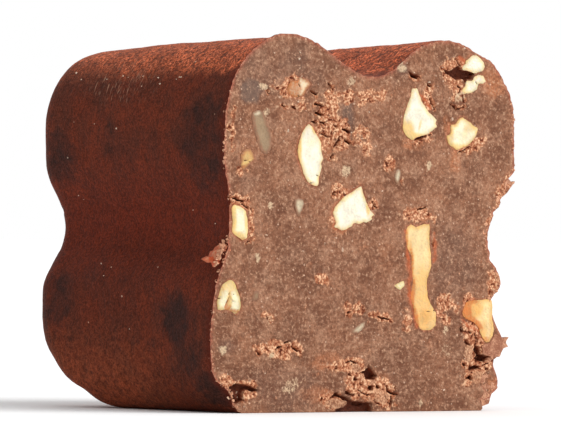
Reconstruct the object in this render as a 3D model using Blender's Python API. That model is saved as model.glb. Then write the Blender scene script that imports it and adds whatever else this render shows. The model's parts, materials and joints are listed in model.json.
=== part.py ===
"""Cut end of a nut truffle bar.

A moulded bar of chocolate ganache, cut across so that the cut face stands upright. Its section
has two crests on top with a valley between them, a waist halfway up each side and a flat base,
and the far end is rounded. Pieces of nut lie in pockets of the cut face.

Sizes are in millimetres and are turned into metres when a mesh is made. While it is built, X runs
across the cut face, Y runs from the cut (0) to the rounded end, and Z runs up from the base. At
the end everything moves together, so that the origin is the middle of the footprint.
"""

import math
import random
from dataclasses import dataclass

import bmesh
import bpy
import numpy as np
from mathutils import Matrix, Vector, noise
from mathutils.geometry import delaunay_2d_cdt

MM = 0.001


@dataclass(frozen=True)
class Side:
    """One side of the section: widths outwards from the middle, each lobe upright for a stretch."""

    crest_x: float
    crest_z: float
    upper_half: float
    upper_top_z: float
    upper_low_z: float
    waist_half: float
    waist_z: float
    lower_half: float
    lower_top_z: float
    lower_low_z: float
    base_half: float


@dataclass(frozen=True)
class Bulge:
    """A stretch of skin near the cut that the knife has pushed out, or with a reach under 0 broken away."""

    x: float
    z: float
    reach: float
    half_width: float
    depth: float


@dataclass(frozen=True)
class Zone:
    """A patch of the cut face where the ganache has torn into crumbs."""

    x: float
    z: float
    half_x: float
    half_z: float
    strength: float = 1.0


@dataclass(frozen=True)
class Pit:
    """A hollow in the cut face, deepest in its middle."""

    x: float
    z: float
    half_x: float
    half_z: float
    depth: float


@dataclass(frozen=True)
class Crumb:
    """A crumb or flake of ganache that clings to the bar."""

    at: tuple
    half: tuple
    seed: int


@dataclass(frozen=True)
class Nut:
    """A piece of nut: its middle on the cut face, its corners about that middle, and how deep it goes."""

    name: str
    middle: tuple
    corners: tuple
    depth: float


# Section at the cut.
VALLEY = (0.65, 24.9)
LEFT = Side(
    crest_x=6.3,
    crest_z=27.7,
    upper_half=13.2,
    upper_top_z=20.9,
    upper_low_z=19.1,
    waist_half=11.9,
    waist_z=13.7,
    lower_half=13.7,
    lower_top_z=9.0,
    lower_low_z=5.0,
    base_half=10.6,
)
RIGHT = Side(
    crest_x=7.1,
    crest_z=27.3,
    upper_half=14.1,
    upper_top_z=21.4,
    upper_low_z=17.7,
    waist_half=11.6,
    waist_z=13.0,
    lower_half=13.3,
    lower_top_z=8.6,
    lower_low_z=4.8,
    base_half=11.2,
)
SHOULDER_POWER = 0.86  # under 1 makes a quarter of an ellipse fuller

# Length, and the rounding of the far end, which is larger at the base than at the crests.
LENGTH = 24.2
END_RADIUS_TOP = 2.5
END_RADIUS_BASE = 8.6
END_FULL_HEIGHT = 9.0  # from here up the end has its smaller radius
END_DOME = 0.5
END_GROOVE = 0.6  # the waist of the sides runs on round the far end
END_GROOVE_HALF = 2.6
END_GROOVE_REACH = 6.0
WIDTH_TAPER = 0.015
HEIGHT_TAPER = 0.035
CORE_Z = 13.0  # the far end closes towards this height

# Fineness of the solid.
OUTLINE_POINTS = 108
SEGMENT_STEPS = 48
RING_DEPTHS = (0.0, 0.5, 1.1, 1.9, 3.0, 5.0, 8.5, 12.5)
END_RINGS = 9
CAP_SHARES = (0.82, 0.6, 0.36, 0.14)
FACE_STEP = 0.8
RIM_MARGIN = 0.5

# Unevenness of the moulded skin and of the torn cut face.
SKIN_SWELL = 0.13
SKIN_SWELL_SPAN = 7.0
BASE_FADE = 1.2
FACE_LUMP = 0.30
FACE_LUMP_SPAN = 1.15
FACE_ROLL = 0.07
FACE_ROLL_SPAN = 4.5
RELIEF_FADE = 5.0  # a hollow at the rim draws the skin back over this depth

BULGES = (
    Bulge(-7.6, 27.7, 0.3, 2.2, 0.8),
    Bulge(6.9, 27.2, 0.5, 3.6, 5.0),
    Bulge(-13.7, 5.2, 0.75, 4.2, 5.0),
    Bulge(-12.2, 13.7, 0.8, 2.4, 4.0),
    Bulge(-13.2, 1.2, -0.7, 1.1, 1.4),
    Bulge(13.3, 7.7, -1.35, 1.2, 2.4),
    Bulge(13.3, 6.3, -0.8, 0.8, 2.0),
    Bulge(13.0, 3.1, -1.05, 1.0, 2.2),
    Bulge(12.3, 0.9, -0.4, 1.0, 1.8),
)

ZONES = (
    Zone(-3.6, 21.0, 1.6, 2.9),
    Zone(0.1, 23.2, 2.6, 1.0),
    Zone(-0.5, 20.3, 1.2, 1.0),
    Zone(-2.8, 16.3, 1.0, 0.7),
    Zone(4.7, 14.7, 1.6, 0.7),
    Zone(0.2, 6.9, 2.1, 1.0),
    Zone(-8.2, 4.8, 2.1, 1.1),
    Zone(-0.2, 2.0, 4.0, 2.2, 1.3),
    Zone(11.2, 4.0, 1.9, 3.8, 1.3),
    Zone(7.7, 24.3, 2.2, 1.1),
    Zone(-12.0, 1.5, 1.4, 1.2),
)

PITS = (
    Pit(8.8, 25.0, 1.1, 0.5, 1.5),
    Pit(0.8, 0.2, 2.0, 1.0, 1.6),
    Pit(0.6, 2.9, 0.6, 0.6, 0.9),
    Pit(2.4, 1.6, 0.5, 0.9, 0.7),
    Pit(-12.0, 1.2, 1.1, 0.7, 1.3),
    Pit(10.9, 4.2, 0.9, 0.7, 1.2),
    Pit(9.8, 2.5, 0.5, 0.4, 0.8),
    Pit(4.5, 24.8, 0.5, 0.35, 0.6),
    Pit(-3.3, 19.6, 0.4, 1.2, 0.6),
)

CRUMBS = (
    Crumb((-13.0, 0.7, 11.5), (1.5, 0.9, 0.95), 11),
    Crumb((-14.2, 1.0, 11.1), (0.8, 0.5, 0.4), 12),
    Crumb((13.6, 0.5, 16.9), (0.6, 0.5, 0.4), 13),
    Crumb((12.7, 0.7, 5.2), (0.7, 0.6, 0.45), 14),
    Crumb((11.9, 0.8, 2.2), (0.75, 0.7, 0.6), 15),
    Crumb((12.4, 0.6, 10.0), (0.7, 0.6, 0.5), 16),
    Crumb((-11.2, 22.3, 12.0), (0.55, 0.55, 0.35), 18),
)

NUTS = (
    Nut(
        "nut_upper_kite",
        (4.8, 21.65),
        (
            (-0.6, 2.3),
            (0.0, 2.3),
            (0.3, 1.4),
            (1.7, 0.1),
            (1.8, -0.5),
            (1.2, -1.0),
            (-1.45, -1.35),
            (-1.3, -0.3),
        ),
        3.0,
    ),
    Nut(
        "nut_upper_round",
        (9.05, 20.7),
        (
            (0.15, 1.35),
            (1.0, 0.8),
            (1.45, 0.2),
            (0.9, -0.6),
            (-0.45, -1.3),
            (-1.25, -0.7),
            (-1.4, -0.1),
            (-0.9, 0.5),
        ),
        2.6,
    ),
    Nut(
        "nut_lens",
        (-5.3, 18.9),
        (
            (-0.2, 2.4),
            (0.9, 1.2),
            (1.2, -0.4),
            (0.8, -2.15),
            (0.0, -2.2),
            (-0.85, -0.7),
            (-1.3, 0.3),
            (-0.8, 1.5),
        ),
        2.8,
    ),
    Nut(
        "nut_middle_kite",
        (-1.35, 14.85),
        (
            (0.75, 1.85),
            (1.2, 0.7),
            (2.0, -0.3),
            (1.1, -0.95),
            (0.2, -0.8),
            (-1.2, -1.45),
            (-1.75, -0.4),
            (-1.1, 0.5),
        ),
        3.0,
    ),
    Nut(
        "nut_long_strip",
        (5.25, 9.9),
        (
            (-1.4, 3.9),
            (-0.6, 4.1),
            (1.0, 4.0),
            (0.85, 2.4),
            (0.95, 0.7),
            (0.4, -0.4),
            (1.1, -2.1),
            (1.55, -3.2),
            (1.0, -4.0),
            (-0.3, -3.8),
            (-0.9, -1.7),
            (-0.75, 0.6),
            (-1.4, 2.4),
        ),
        2.6,
    ),
    Nut(
        "nut_left_waist",
        (-11.6, 14.0),
        ((-0.65, 1.35), (0.5, 0.9), (0.75, -0.7), (0.4, -1.4), (-0.6, -0.7)),
        2.0,
    ),
    Nut(
        "nut_left_lower",
        (-12.8, 8.4),
        (
            (0.2, 1.45),
            (0.8, 0.9),
            (1.1, -0.1),
            (1.05, -1.2),
            (0.3, -0.8),
            (-1.2, -0.95),
            (-1.15, 0.1),
            (-0.8, 0.8),
        ),
        2.2,
    ),
    Nut(
        "nut_right_corner",
        (11.0, 6.9),
        ((-0.25, 1.4), (1.0, 1.2), (1.1, -0.4), (0.9, -1.7), (0.35, -1.65), (-0.3, -0.3), (-1.6, 0.6)),
        2.2,
    ),
    Nut(
        "nut_top_right",
        (10.3, 25.75),
        ((-0.05, 0.75), (0.6, 0.5), (1.1, -0.15), (0.85, -0.55), (-0.1, -0.75), (-1.15, 0.0), (-1.0, 0.5)),
        1.8,
    ),
    Nut(
        "nut_top_right_small",
        (10.05, 24.2),
        ((0.5, 0.8), (1.05, 0.6), (0.5, -0.1), (-0.1, -0.5), (-0.95, -0.6), (-0.9, 0.2), (0.1, 0.4)),
        1.5,
    ),
    Nut(
        "nut_pale_sliver",
        (-9.95, 20.9),
        (
            (-0.65, 1.3),
            (0.05, 1.4),
            (0.3, 0.5),
            (0.8, -0.6),
            (0.7, -1.4),
            (0.0, -1.45),
            (-0.5, -0.5),
            (-0.75, 0.5),
        ),
        1.4,
    ),
    Nut(
        "nut_left_small",
        (-11.15, 18.55),
        ((-0.3, 0.75), (0.45, 0.65), (0.75, 0.1), (0.4, -0.35), (-0.6, -0.8), (-0.7, 0.1)),
        1.3,
    ),
    Nut(
        "nut_upper_left",
        (-6.65, 24.0),
        ((-1.4, 0.1), (-0.7, 0.55), (0.6, 0.6), (1.35, 0.2), (0.9, -0.3), (0.0, -0.7), (-1.0, -0.45)),
        1.5,
    ),
    Nut("nut_small_wedge", (3.3, 9.3), ((-0.7, -0.2), (0.35, 0.5), (0.45, -0.1), (-0.1, -0.35)), 0.9),
    Nut(
        "nut_low_sliver",
        (-0.7, 6.25),
        ((-0.8, -0.45), (-0.2, 0.1), (0.8, 0.6), (0.7, 0.1), (0.15, -0.45)),
        0.9,
    ),
    Nut(
        "nut_faint_chip",
        (-6.2, 15.1),
        ((-0.45, 0.6), (0.45, 0.5), (0.25, -0.1), (-0.1, -0.75), (-0.45, -0.1)),
        0.9,
    ),
    Nut("nut_pale_streak", (2.95, 17.0), ((-0.2, 1.0), (0.3, 0.9), (0.4, -0.7), (-0.3, -0.65)), 0.8),
    Nut("nut_low_chip", (-10.3, 8.55), ((-0.15, 0.45), (0.4, 0.35), (0.35, -0.3), (-0.4, -0.35)), 0.8),
)

# Nuts and the pockets they lie in.
CORNER_CUT = 0.22
POCKET_GAP = 0.1
NUT_PROUD = 0.05
NUT_LEAN = 0.1  # how far a nut leans towards the middle for each millimetre that it goes in
CUTTER_REACH = 2.0

GANACHE = ("ganache", (0.31, 0.15, 0.09, 1.0), 0.62)
NUT_FLESH = ("nut_flesh", (0.90, 0.76, 0.50, 1.0), 0.45)
SHARP_ANGLE = 40.0


def clear_scene():
    """Removes what the startup scene holds."""
    for obj in list(bpy.data.objects):
        bpy.data.objects.remove(obj)


def material(name, colour, roughness):
    """A plain material of one colour."""
    made = bpy.data.materials.new(name)
    made.use_nodes = True
    shader = made.node_tree.nodes["Principled BSDF"]
    shader.inputs["Base Color"].default_value = colour
    shader.inputs["Roughness"].default_value = roughness
    shader.inputs["Metallic"].default_value = 0.0
    return made


def ease(share):
    """0 to 1 with level ends."""
    return (1 - math.cos(math.pi * share)) / 2


def between(start, end, along, up):
    """The point that lies these shares of the way from start to end, along X and up Z."""
    return (start[0] + (end[0] - start[0]) * along, start[1] + (end[1] - start[1]) * up)


def stretch(start, end, law):
    """Points from start to just short of end. law turns a share of the way into shares along and up."""
    return [between(start, end, *law(step / SEGMENT_STEPS)) for step in range(SEGMENT_STEPS)]


def straight(share):
    """A straight line."""
    return share, share


def level_sway(share):
    """An S that starts and ends level."""
    return share, ease(share)


def upright_sway(share):
    """An S that starts and ends upright."""
    return ease(share), share


def shoulder(share):
    """A quarter of a full ellipse that starts level and ends upright."""
    turn = share * math.pi / 2
    return math.sin(turn) ** SHOULDER_POWER, 1 - math.cos(turn) ** SHOULDER_POWER


def foot(share):
    """A quarter of a full ellipse that starts upright and ends level."""
    up, along = shoulder(share)
    return along, up


def half_outline(side, hand):
    """One side of the section, from the valley to the middle of the base. hand is 1 right, -1 left."""
    crest = (hand * side.crest_x, side.crest_z)
    upper_top = (hand * side.upper_half, side.upper_top_z)
    upper_low = (hand * side.upper_half, side.upper_low_z)
    waist = (hand * side.waist_half, side.waist_z)
    lower_top = (hand * side.lower_half, side.lower_top_z)
    lower_low = (hand * side.lower_half, side.lower_low_z)
    base = (hand * side.base_half, 0.0)
    return [
        *stretch(VALLEY, crest, level_sway),
        *stretch(crest, upper_top, shoulder),
        *stretch(upper_top, upper_low, straight),
        *stretch(upper_low, waist, upright_sway),
        *stretch(waist, lower_top, upright_sway),
        *stretch(lower_top, lower_low, straight),
        *stretch(lower_low, base, foot),
        *stretch(base, (0.0, 0.0), straight),
    ]


def evenly(points, count):
    """count points at equal steps along a closed line, the first one kept."""
    closed = np.array([*points, points[0]], float)
    run = np.concatenate([[0], np.cumsum(np.linalg.norm(np.diff(closed, axis=0), axis=1))])
    wanted = np.linspace(0, run[-1], count, endpoint=False)
    return np.stack([np.interp(wanted, run, closed[:, axis]) for axis in (0, 1)], axis=1)


def section():
    """The section as OUTLINE_POINTS points (x, z), clockwise seen from the cut."""
    left = half_outline(LEFT, -1)
    return evenly([*half_outline(RIGHT, 1), (0.0, 0.0), *left[:0:-1]], OUTLINE_POINTS)


def end_radius(z):
    """Radius of the rounding between the side and the far end, at this height."""
    share_below = max(0.0, 1 - z / END_FULL_HEIGHT)
    return END_RADIUS_TOP + (END_RADIUS_BASE - END_RADIUS_TOP) * share_below**2


def end_groove(z):
    """How far the far end lies in at this height, where the waist runs round it."""
    return END_GROOVE * math.exp(-(((z - LEFT.waist_z) / END_GROOVE_HALF) ** 2))


def skin_point(x, y, z):
    """Where a point of the section lies at depth y."""
    share = y / LENGTH
    cut_place = Vector((x, z))
    x, z = x * (1 - WIDTH_TAPER * share**2), z * (1 - HEIGHT_TAPER * share**2)
    away = Vector((x, z - CORE_Z)).normalized()
    swell = SKIN_SWELL * noise.noise(Vector((x, y, z)) / SKIN_SWELL_SPAN) * min(1.0, z / BASE_FADE)
    for bulge in BULGES:
        aside = (cut_place - Vector((bulge.x, bulge.z))).length / bulge.half_width
        swell += bulge.reach * math.exp(-(aside**2) - (y / bulge.depth) ** 2)
    radius = end_radius(z)
    into = max(0.0, (y - (LENGTH - radius)) / radius)
    inset = radius * (1 - math.sqrt(max(0.0, 1 - into**2)))
    lift = swell if cut_place.y > 0 else 0.0
    near_end = ease(max(0.0, 1 - (LENGTH - y) / END_GROOVE_REACH))
    drawn_back = relief(*cut_place) * max(0.0, 1 - y / RELIEF_FADE)
    return (
        x + away.x * (swell - inset),
        y - end_groove(z) * near_end + drawn_back,
        max(0.0, z + away.y * (lift - inset)),
    )


def relief(x, z):
    """How far the cut face stands behind the knife's plane here."""
    depth = FACE_ROLL * noise.noise(Vector((x, z, 3.0)) / FACE_ROLL_SPAN)
    for zone in ZONES:
        reach = math.hypot((x - zone.x) / zone.half_x, (z - zone.z) / zone.half_z)
        share = ease(max(0.0, min(1.0, 1.5 - reach)))
        lump = noise.noise(Vector((x, z, zone.x)) / FACE_LUMP_SPAN)
        depth += FACE_LUMP * zone.strength * share * (0.35 + lump)
    for pit in PITS:
        near = ((x - pit.x) / pit.half_x) ** 2 + ((z - pit.z) / pit.half_z) ** 2
        depth += pit.depth * math.exp(-near)
    return depth


def face_points(rim):
    """Points inside the cut face on a staggered grid, clear of its rim."""
    row_step = FACE_STEP * math.sqrt(3) / 2
    ahead = np.roll(rim, -1, axis=0)
    (left, base), (right, top) = rim.min(axis=0), rim.max(axis=0)
    found = []
    for row in range(1, int((top - base) / row_step) + 1):
        z = base + row * row_step
        crosses = (rim[:, 1] > z) != (ahead[:, 1] > z)
        rise = np.where(crosses, ahead[:, 1] - rim[:, 1], 1.0)
        at = rim[:, 0] + (z - rim[:, 1]) * (ahead[:, 0] - rim[:, 0]) / rise
        for column in range(int((right - left) / FACE_STEP) + 1):
            x = left + (column + 0.5 * (row % 2)) * FACE_STEP
            inside = np.count_nonzero(crosses & (at > x)) % 2
            if inside and np.linalg.norm(rim - (x, z), axis=1).min() > RIM_MARGIN:
                found.append((x, z))
    return found


def ring_depths():
    """Depths of the skin's rings, closer together round the far end's rounding."""
    turns = [math.pi / 2 * (step + 1) / END_RINGS for step in range(END_RINGS)]
    return [*RING_DEPTHS, *(LENGTH - END_RADIUS_BASE * (1 - math.sin(turn)) for turn in turns)]


def mesh_object(name, points, faces, finish):
    """A closed mesh object from points in millimetres, its faces turned outwards."""
    shape = bmesh.new()
    corners = [shape.verts.new(Vector(point) * MM) for point in points]
    for face in faces:
        shape.faces.new([corners[index] for index in face])
    bmesh.ops.triangulate(shape, faces=shape.faces)
    bmesh.ops.recalc_face_normals(shape, faces=shape.faces)
    if shape.calc_volume(signed=True) < 0:
        bmesh.ops.reverse_faces(shape, faces=shape.faces)
    return bmesh_object(name, shape, finish)


def bmesh_object(name, shape, finish):
    """An object in the scene that takes over a bmesh."""
    mesh = bpy.data.meshes.new(name)
    shape.to_mesh(mesh)
    shape.free()
    mesh.materials.append(finish)
    obj = bpy.data.objects.new(name, mesh)
    bpy.context.scene.collection.objects.link(obj)
    return obj


def bridged(first_ring, count):
    """Quads between a ring of count points and the next one."""
    for side in range(count):
        here, beside = first_ring + side, first_ring + (side + 1) % count
        yield (here, beside, beside + count, here + count)


def ganache_bar(finish):
    """The bar before its pockets are cut: skin, rounded end and cut face in one closed mesh."""
    outline = section()
    count = len(outline)
    points, faces = [], []
    for depth in ring_depths():
        points += [skin_point(x, depth, z) for x, z in outline]
    rim = np.array(points[-count:])
    for share in CAP_SHARES:
        heights = CORE_Z + (rim[:, 2] - CORE_Z) * share
        depths = [LENGTH - end_groove(z) + END_DOME * (1 - share**2) ** 2 for z in heights]
        points += list(zip(rim[:, 0] * share, depths, heights))
    for ring in range(len(points) // count - 1):
        faces += bridged(ring * count, count)
    last = len(points) - count
    points.append((0.0, LENGTH - end_groove(CORE_Z) + END_DOME, CORE_Z))
    faces += [(last + side, last + (side + 1) % count, len(points) - 1) for side in range(count)]
    close_cut(points, faces, count)
    return mesh_object("truffle", points, faces, finish)


def close_cut(points, faces, count):
    """Closes the front with a triangulated face that dips and rises as the torn ganache does."""
    rim = [(points[index][0], points[index][2]) for index in range(count)]
    inner = face_points(np.array(rim))
    edges = [(index, (index + 1) % count) for index in range(count)]
    _, _, triangles, source, _, _ = delaunay_2d_cdt([Vector(at) for at in [*rim, *inner]], edges, [], 1, 1e-6)
    first = len(points) - count
    points += [(x, relief(x, z), z) for x, z in inner]
    for triangle in triangles:
        corners = [source[corner][0] for corner in triangle]
        faces.append([corner if corner < count else first + corner for corner in corners])


def crumb_object(crumb, finish):
    """An angular lump: a coarse sphere stretched and dented at random, from its own seed."""
    draw = random.Random(crumb.seed)
    shape = bmesh.new()
    bmesh.ops.create_icosphere(shape, subdivisions=2, radius=1.0)
    lean = Matrix.Rotation(draw.uniform(-0.5, 0.5), 3, "Y")
    for vertex in shape.verts:
        dent = 1 + draw.uniform(-0.22, 0.18)
        stretched = Vector(side * half for side, half in zip(vertex.co, crumb.half))
        vertex.co = (lean @ stretched * dent + Vector(crumb.at)) * MM
    return bmesh_object("crumb", shape, finish)


def rounded(corners):
    """A closed outline with its corners cut off, so that it has twice as many points."""
    points = np.array(corners, float)
    ahead = np.roll(points, -1, axis=0)
    near, far = 1 - CORNER_CUT, CORNER_CUT
    return np.stack([near * points + far * ahead, far * points + near * ahead], axis=1).reshape(-1, 2)


def grown(outline, gap):
    """A closed outline moved outwards by gap."""
    ahead, behind = np.roll(outline, -1, axis=0), np.roll(outline, 1, axis=0)
    along = ahead - behind
    across = np.stack([along[:, 1], -along[:, 0]], axis=1)
    across /= np.linalg.norm(across, axis=1)[:, None]
    turning = (outline[:, 0] * ahead[:, 1] - ahead[:, 0] * outline[:, 1]).sum()
    return outline + across * gap * math.copysign(1, turning)


def nut_object(nut, name, gap, front, finish):
    """A nut piece that narrows as it goes in from depth front, or with a gap its pocket's cutter."""
    outline = grown(rounded(nut.corners), gap)
    levels = (
        (front, 1.0 if gap else 0.93),
        (0.1, 1.0),
        (0.55 * nut.depth, 0.96),
        (0.88 * nut.depth + gap, 0.74),
        (nut.depth + gap, 0.42),
    )
    middle = np.array(nut.middle)
    inwards = np.array([0.0, CORE_Z]) - middle
    lean = inwards / np.linalg.norm(inwards) * NUT_LEAN
    points, faces, count = [], [], len(outline)
    for depth, share in levels:
        points += [(x, depth, z) for x, z in outline * share + middle + lean * max(0.0, depth)]
    for level in range(len(levels) - 1):
        faces += bridged(level * count, count)
    faces.append(tuple(range(count)))
    faces.append(tuple(range(len(points) - count, len(points))))
    return mesh_object(name, points, faces, finish)


def apply_boolean(target, operation, helpers):
    """Joins or cuts target with all the helpers at once, and then removes them."""
    collection = bpy.data.collections.new(operation)
    bpy.context.scene.collection.children.link(collection)
    for helper in helpers:
        bpy.context.scene.collection.objects.unlink(helper)
        collection.objects.link(helper)
    change = target.modifiers.new(operation, "BOOLEAN")
    change.operation = operation
    change.operand_type = "COLLECTION"
    change.collection = collection
    change.solver = "EXACT"
    bpy.context.view_layer.update()
    graph = bpy.context.evaluated_depsgraph_get()
    mesh = bpy.data.meshes.new_from_object(target.evaluated_get(graph))
    target.modifiers.remove(change)
    target.data = mesh
    for helper in helpers:
        bpy.data.objects.remove(helper)
    bpy.data.collections.remove(collection)


def settle(objects):
    """Moves everything so that the origin is the middle of the footprint, at the base."""
    corners = np.array([vertex.co for obj in objects for vertex in obj.data.vertices])
    low, high = corners.min(axis=0), corners.max(axis=0)
    shift = Vector((-(low[0] + high[0]) / 2, -(low[1] + high[1]) / 2, -low[2]))
    for obj in objects:
        obj.data.transform(Matrix.Translation(shift))


def shade(obj):
    """Smooth over gentle turns, sharp at the cut rim and on broken facets."""
    obj.data.shade_smooth()
    obj.data.set_sharp_from_angle(angle=math.radians(SHARP_ANGLE))


def main():
    """Builds the bar with its crumbs, cuts the pockets and lays the nuts in them."""
    clear_scene()
    ganache, flesh = material(*GANACHE), material(*NUT_FLESH)
    truffle = ganache_bar(ganache)
    apply_boolean(truffle, "UNION", [crumb_object(crumb, ganache) for crumb in CRUMBS])
    pockets = [nut_object(nut, "pocket", POCKET_GAP, -CUTTER_REACH, ganache) for nut in NUTS]
    apply_boolean(truffle, "DIFFERENCE", pockets)
    nuts = [nut_object(nut, nut.name, 0.0, -NUT_PROUD, flesh) for nut in NUTS]
    settle([truffle, *nuts])
    for obj in [truffle, *nuts]:
        shade(obj)


main()
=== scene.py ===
"""Looks of the cut end of a nut truffle bar, dressed over its solid model.

The bar, its nuts and its crumbs are drawn in millimetres: X runs across the cut face, Y from the
cut (0) towards the rounded end, and Z up from the base. They are then moved into the model's frame.
"""

import json
import logging
import math
import random
from dataclasses import dataclass, field
from enum import Enum
from typing import Any, Iterator, Sequence, TypeVar, Union

import bmesh
import bpy
import numpy as np
from mathutils import Matrix, Vector, noise
from mathutils.geometry import delaunay_2d_cdt

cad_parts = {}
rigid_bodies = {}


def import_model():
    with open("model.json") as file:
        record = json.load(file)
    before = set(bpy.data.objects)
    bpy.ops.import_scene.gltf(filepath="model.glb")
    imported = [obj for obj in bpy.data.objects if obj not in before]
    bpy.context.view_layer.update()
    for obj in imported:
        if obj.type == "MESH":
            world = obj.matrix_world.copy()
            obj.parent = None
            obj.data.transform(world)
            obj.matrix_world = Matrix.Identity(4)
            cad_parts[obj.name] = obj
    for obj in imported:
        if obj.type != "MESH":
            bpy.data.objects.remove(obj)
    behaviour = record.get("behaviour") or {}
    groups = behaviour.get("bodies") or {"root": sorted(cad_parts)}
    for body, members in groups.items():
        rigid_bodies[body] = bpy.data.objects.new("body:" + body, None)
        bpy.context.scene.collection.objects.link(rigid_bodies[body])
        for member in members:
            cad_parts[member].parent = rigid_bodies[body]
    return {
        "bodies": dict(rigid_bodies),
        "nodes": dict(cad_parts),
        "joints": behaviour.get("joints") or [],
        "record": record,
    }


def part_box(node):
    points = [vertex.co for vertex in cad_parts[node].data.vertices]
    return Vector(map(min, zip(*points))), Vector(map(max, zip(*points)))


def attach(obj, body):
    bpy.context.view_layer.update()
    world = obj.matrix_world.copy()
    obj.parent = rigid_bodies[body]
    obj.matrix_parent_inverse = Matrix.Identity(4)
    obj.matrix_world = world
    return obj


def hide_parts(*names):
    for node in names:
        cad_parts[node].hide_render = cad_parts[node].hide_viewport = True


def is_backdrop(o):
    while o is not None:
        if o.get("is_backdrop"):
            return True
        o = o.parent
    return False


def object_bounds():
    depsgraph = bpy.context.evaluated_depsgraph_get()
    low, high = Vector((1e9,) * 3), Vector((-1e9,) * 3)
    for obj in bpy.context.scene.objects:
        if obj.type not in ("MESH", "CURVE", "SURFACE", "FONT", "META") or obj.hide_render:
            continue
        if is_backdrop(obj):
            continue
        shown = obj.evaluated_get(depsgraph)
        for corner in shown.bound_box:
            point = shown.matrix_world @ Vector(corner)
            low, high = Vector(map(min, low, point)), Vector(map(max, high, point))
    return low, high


log = logging.getLogger("truffle")

MM = 0.001
ROOT = "root"

Array = np.ndarray
Colour = tuple[float, float, float]
Spread = tuple[float, float]
Place = tuple[float, float, float]
Kind = TypeVar("Kind")


def linear(red: int, green: int, blue: int) -> Colour:
    """Turns a colour in screen values from 0 to 255 into scene values.

    Args:
        red: Red as shown on a screen.
        green: Green as shown on a screen.
        blue: Blue as shown on a screen.

    Returns:
        The three values as light.
    """
    shares = (value / 255 for value in (red, green, blue))
    return tuple(s / 12.92 if s <= 0.04045 else ((s + 0.055) / 1.055) ** 2.4 for s in shares)


def each(kind: type[Kind], *rows: Sequence[Any]) -> tuple[Kind, ...]:
    """One object of a kind for each row of its fields."""
    return tuple(kind(*row) for row in rows)


def ease(share: Array) -> Array:
    """Bends a share from 0 to 1 so that it starts and ends level."""
    return (1 - np.cos(np.pi * np.clip(share, 0.0, 1.0))) / 2


def step(value: Array, low: float, high: float) -> Array:
    """Rises smoothly from 0 at low to 1 at high."""
    return ease((value - low) / (high - low))


def grain(places: Array, span: float, seed: float = 0.0) -> Array:
    """Smooth noise at places in the plane or in space.

    Args:
        places: One place a row, with two or three columns.
        span: Rough distance from one swell to the next.
        seed: Picks another pattern.

    Returns:
        One value a place, from about -1 to 1.
    """
    scaled = np.zeros((len(places), 3))
    scaled[:, : places.shape[1]] = places / span
    scaled += (seed, 1.7 * seed, -0.9 * seed)
    return np.array([noise.noise(place) for place in scaled.tolist()])


# ---- Shader graph ----


class Wire:
    """A single value on its way between shader nodes, with arithmetic that adds Math nodes."""

    def __init__(self, graph: "Graph", socket: bpy.types.NodeSocket) -> None:
        """Wraps an output socket of a graph."""
        self.graph = graph
        self.socket = socket

    def maths(self, operation: str, *values: Any) -> "Wire":
        """Adds one Math node.

        Args:
            operation: The node's operation.
            values: Its inputs in order.

        Returns:
            The node's result.
        """
        inputs = dict(enumerate(values))
        return self.graph.wire("ShaderNodeMath", {"operation": operation}, inputs)

    def __add__(self, other: Any) -> "Wire":
        """self + other"""
        return self.maths("ADD", self, other)

    __radd__ = __add__

    def __sub__(self, other: Any) -> "Wire":
        """self - other"""
        return self.maths("SUBTRACT", self, other)

    def __rsub__(self, other: Any) -> "Wire":
        """other - self"""
        return self.maths("SUBTRACT", other, self)

    def __mul__(self, other: Any) -> "Wire":
        """self * other"""
        return self.maths("MULTIPLY", self, other)

    __rmul__ = __mul__

    def __gt__(self, other: Any) -> "Wire":
        """1 where self is over other, otherwise 0"""
        return self.maths("GREATER_THAN", self, other)

    def __lt__(self, other: Any) -> "Wire":
        """1 where self is under other, otherwise 0"""
        return self.maths("LESS_THAN", self, other)

    def between(self, low: float, high: float) -> "Wire":
        """Rises smoothly from 0 where self is low to 1 where it is high.

        Args:
            low: Where the rise starts.
            high: Where it ends.

        Returns:
            A value from 0 to 1.
        """
        settings = {"interpolation_type": "SMOOTHSTEP"}
        limits = {"Value": self, "From Min": low, "From Max": high}
        return self.graph.wire("ShaderNodeMapRange", settings, limits)


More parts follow.
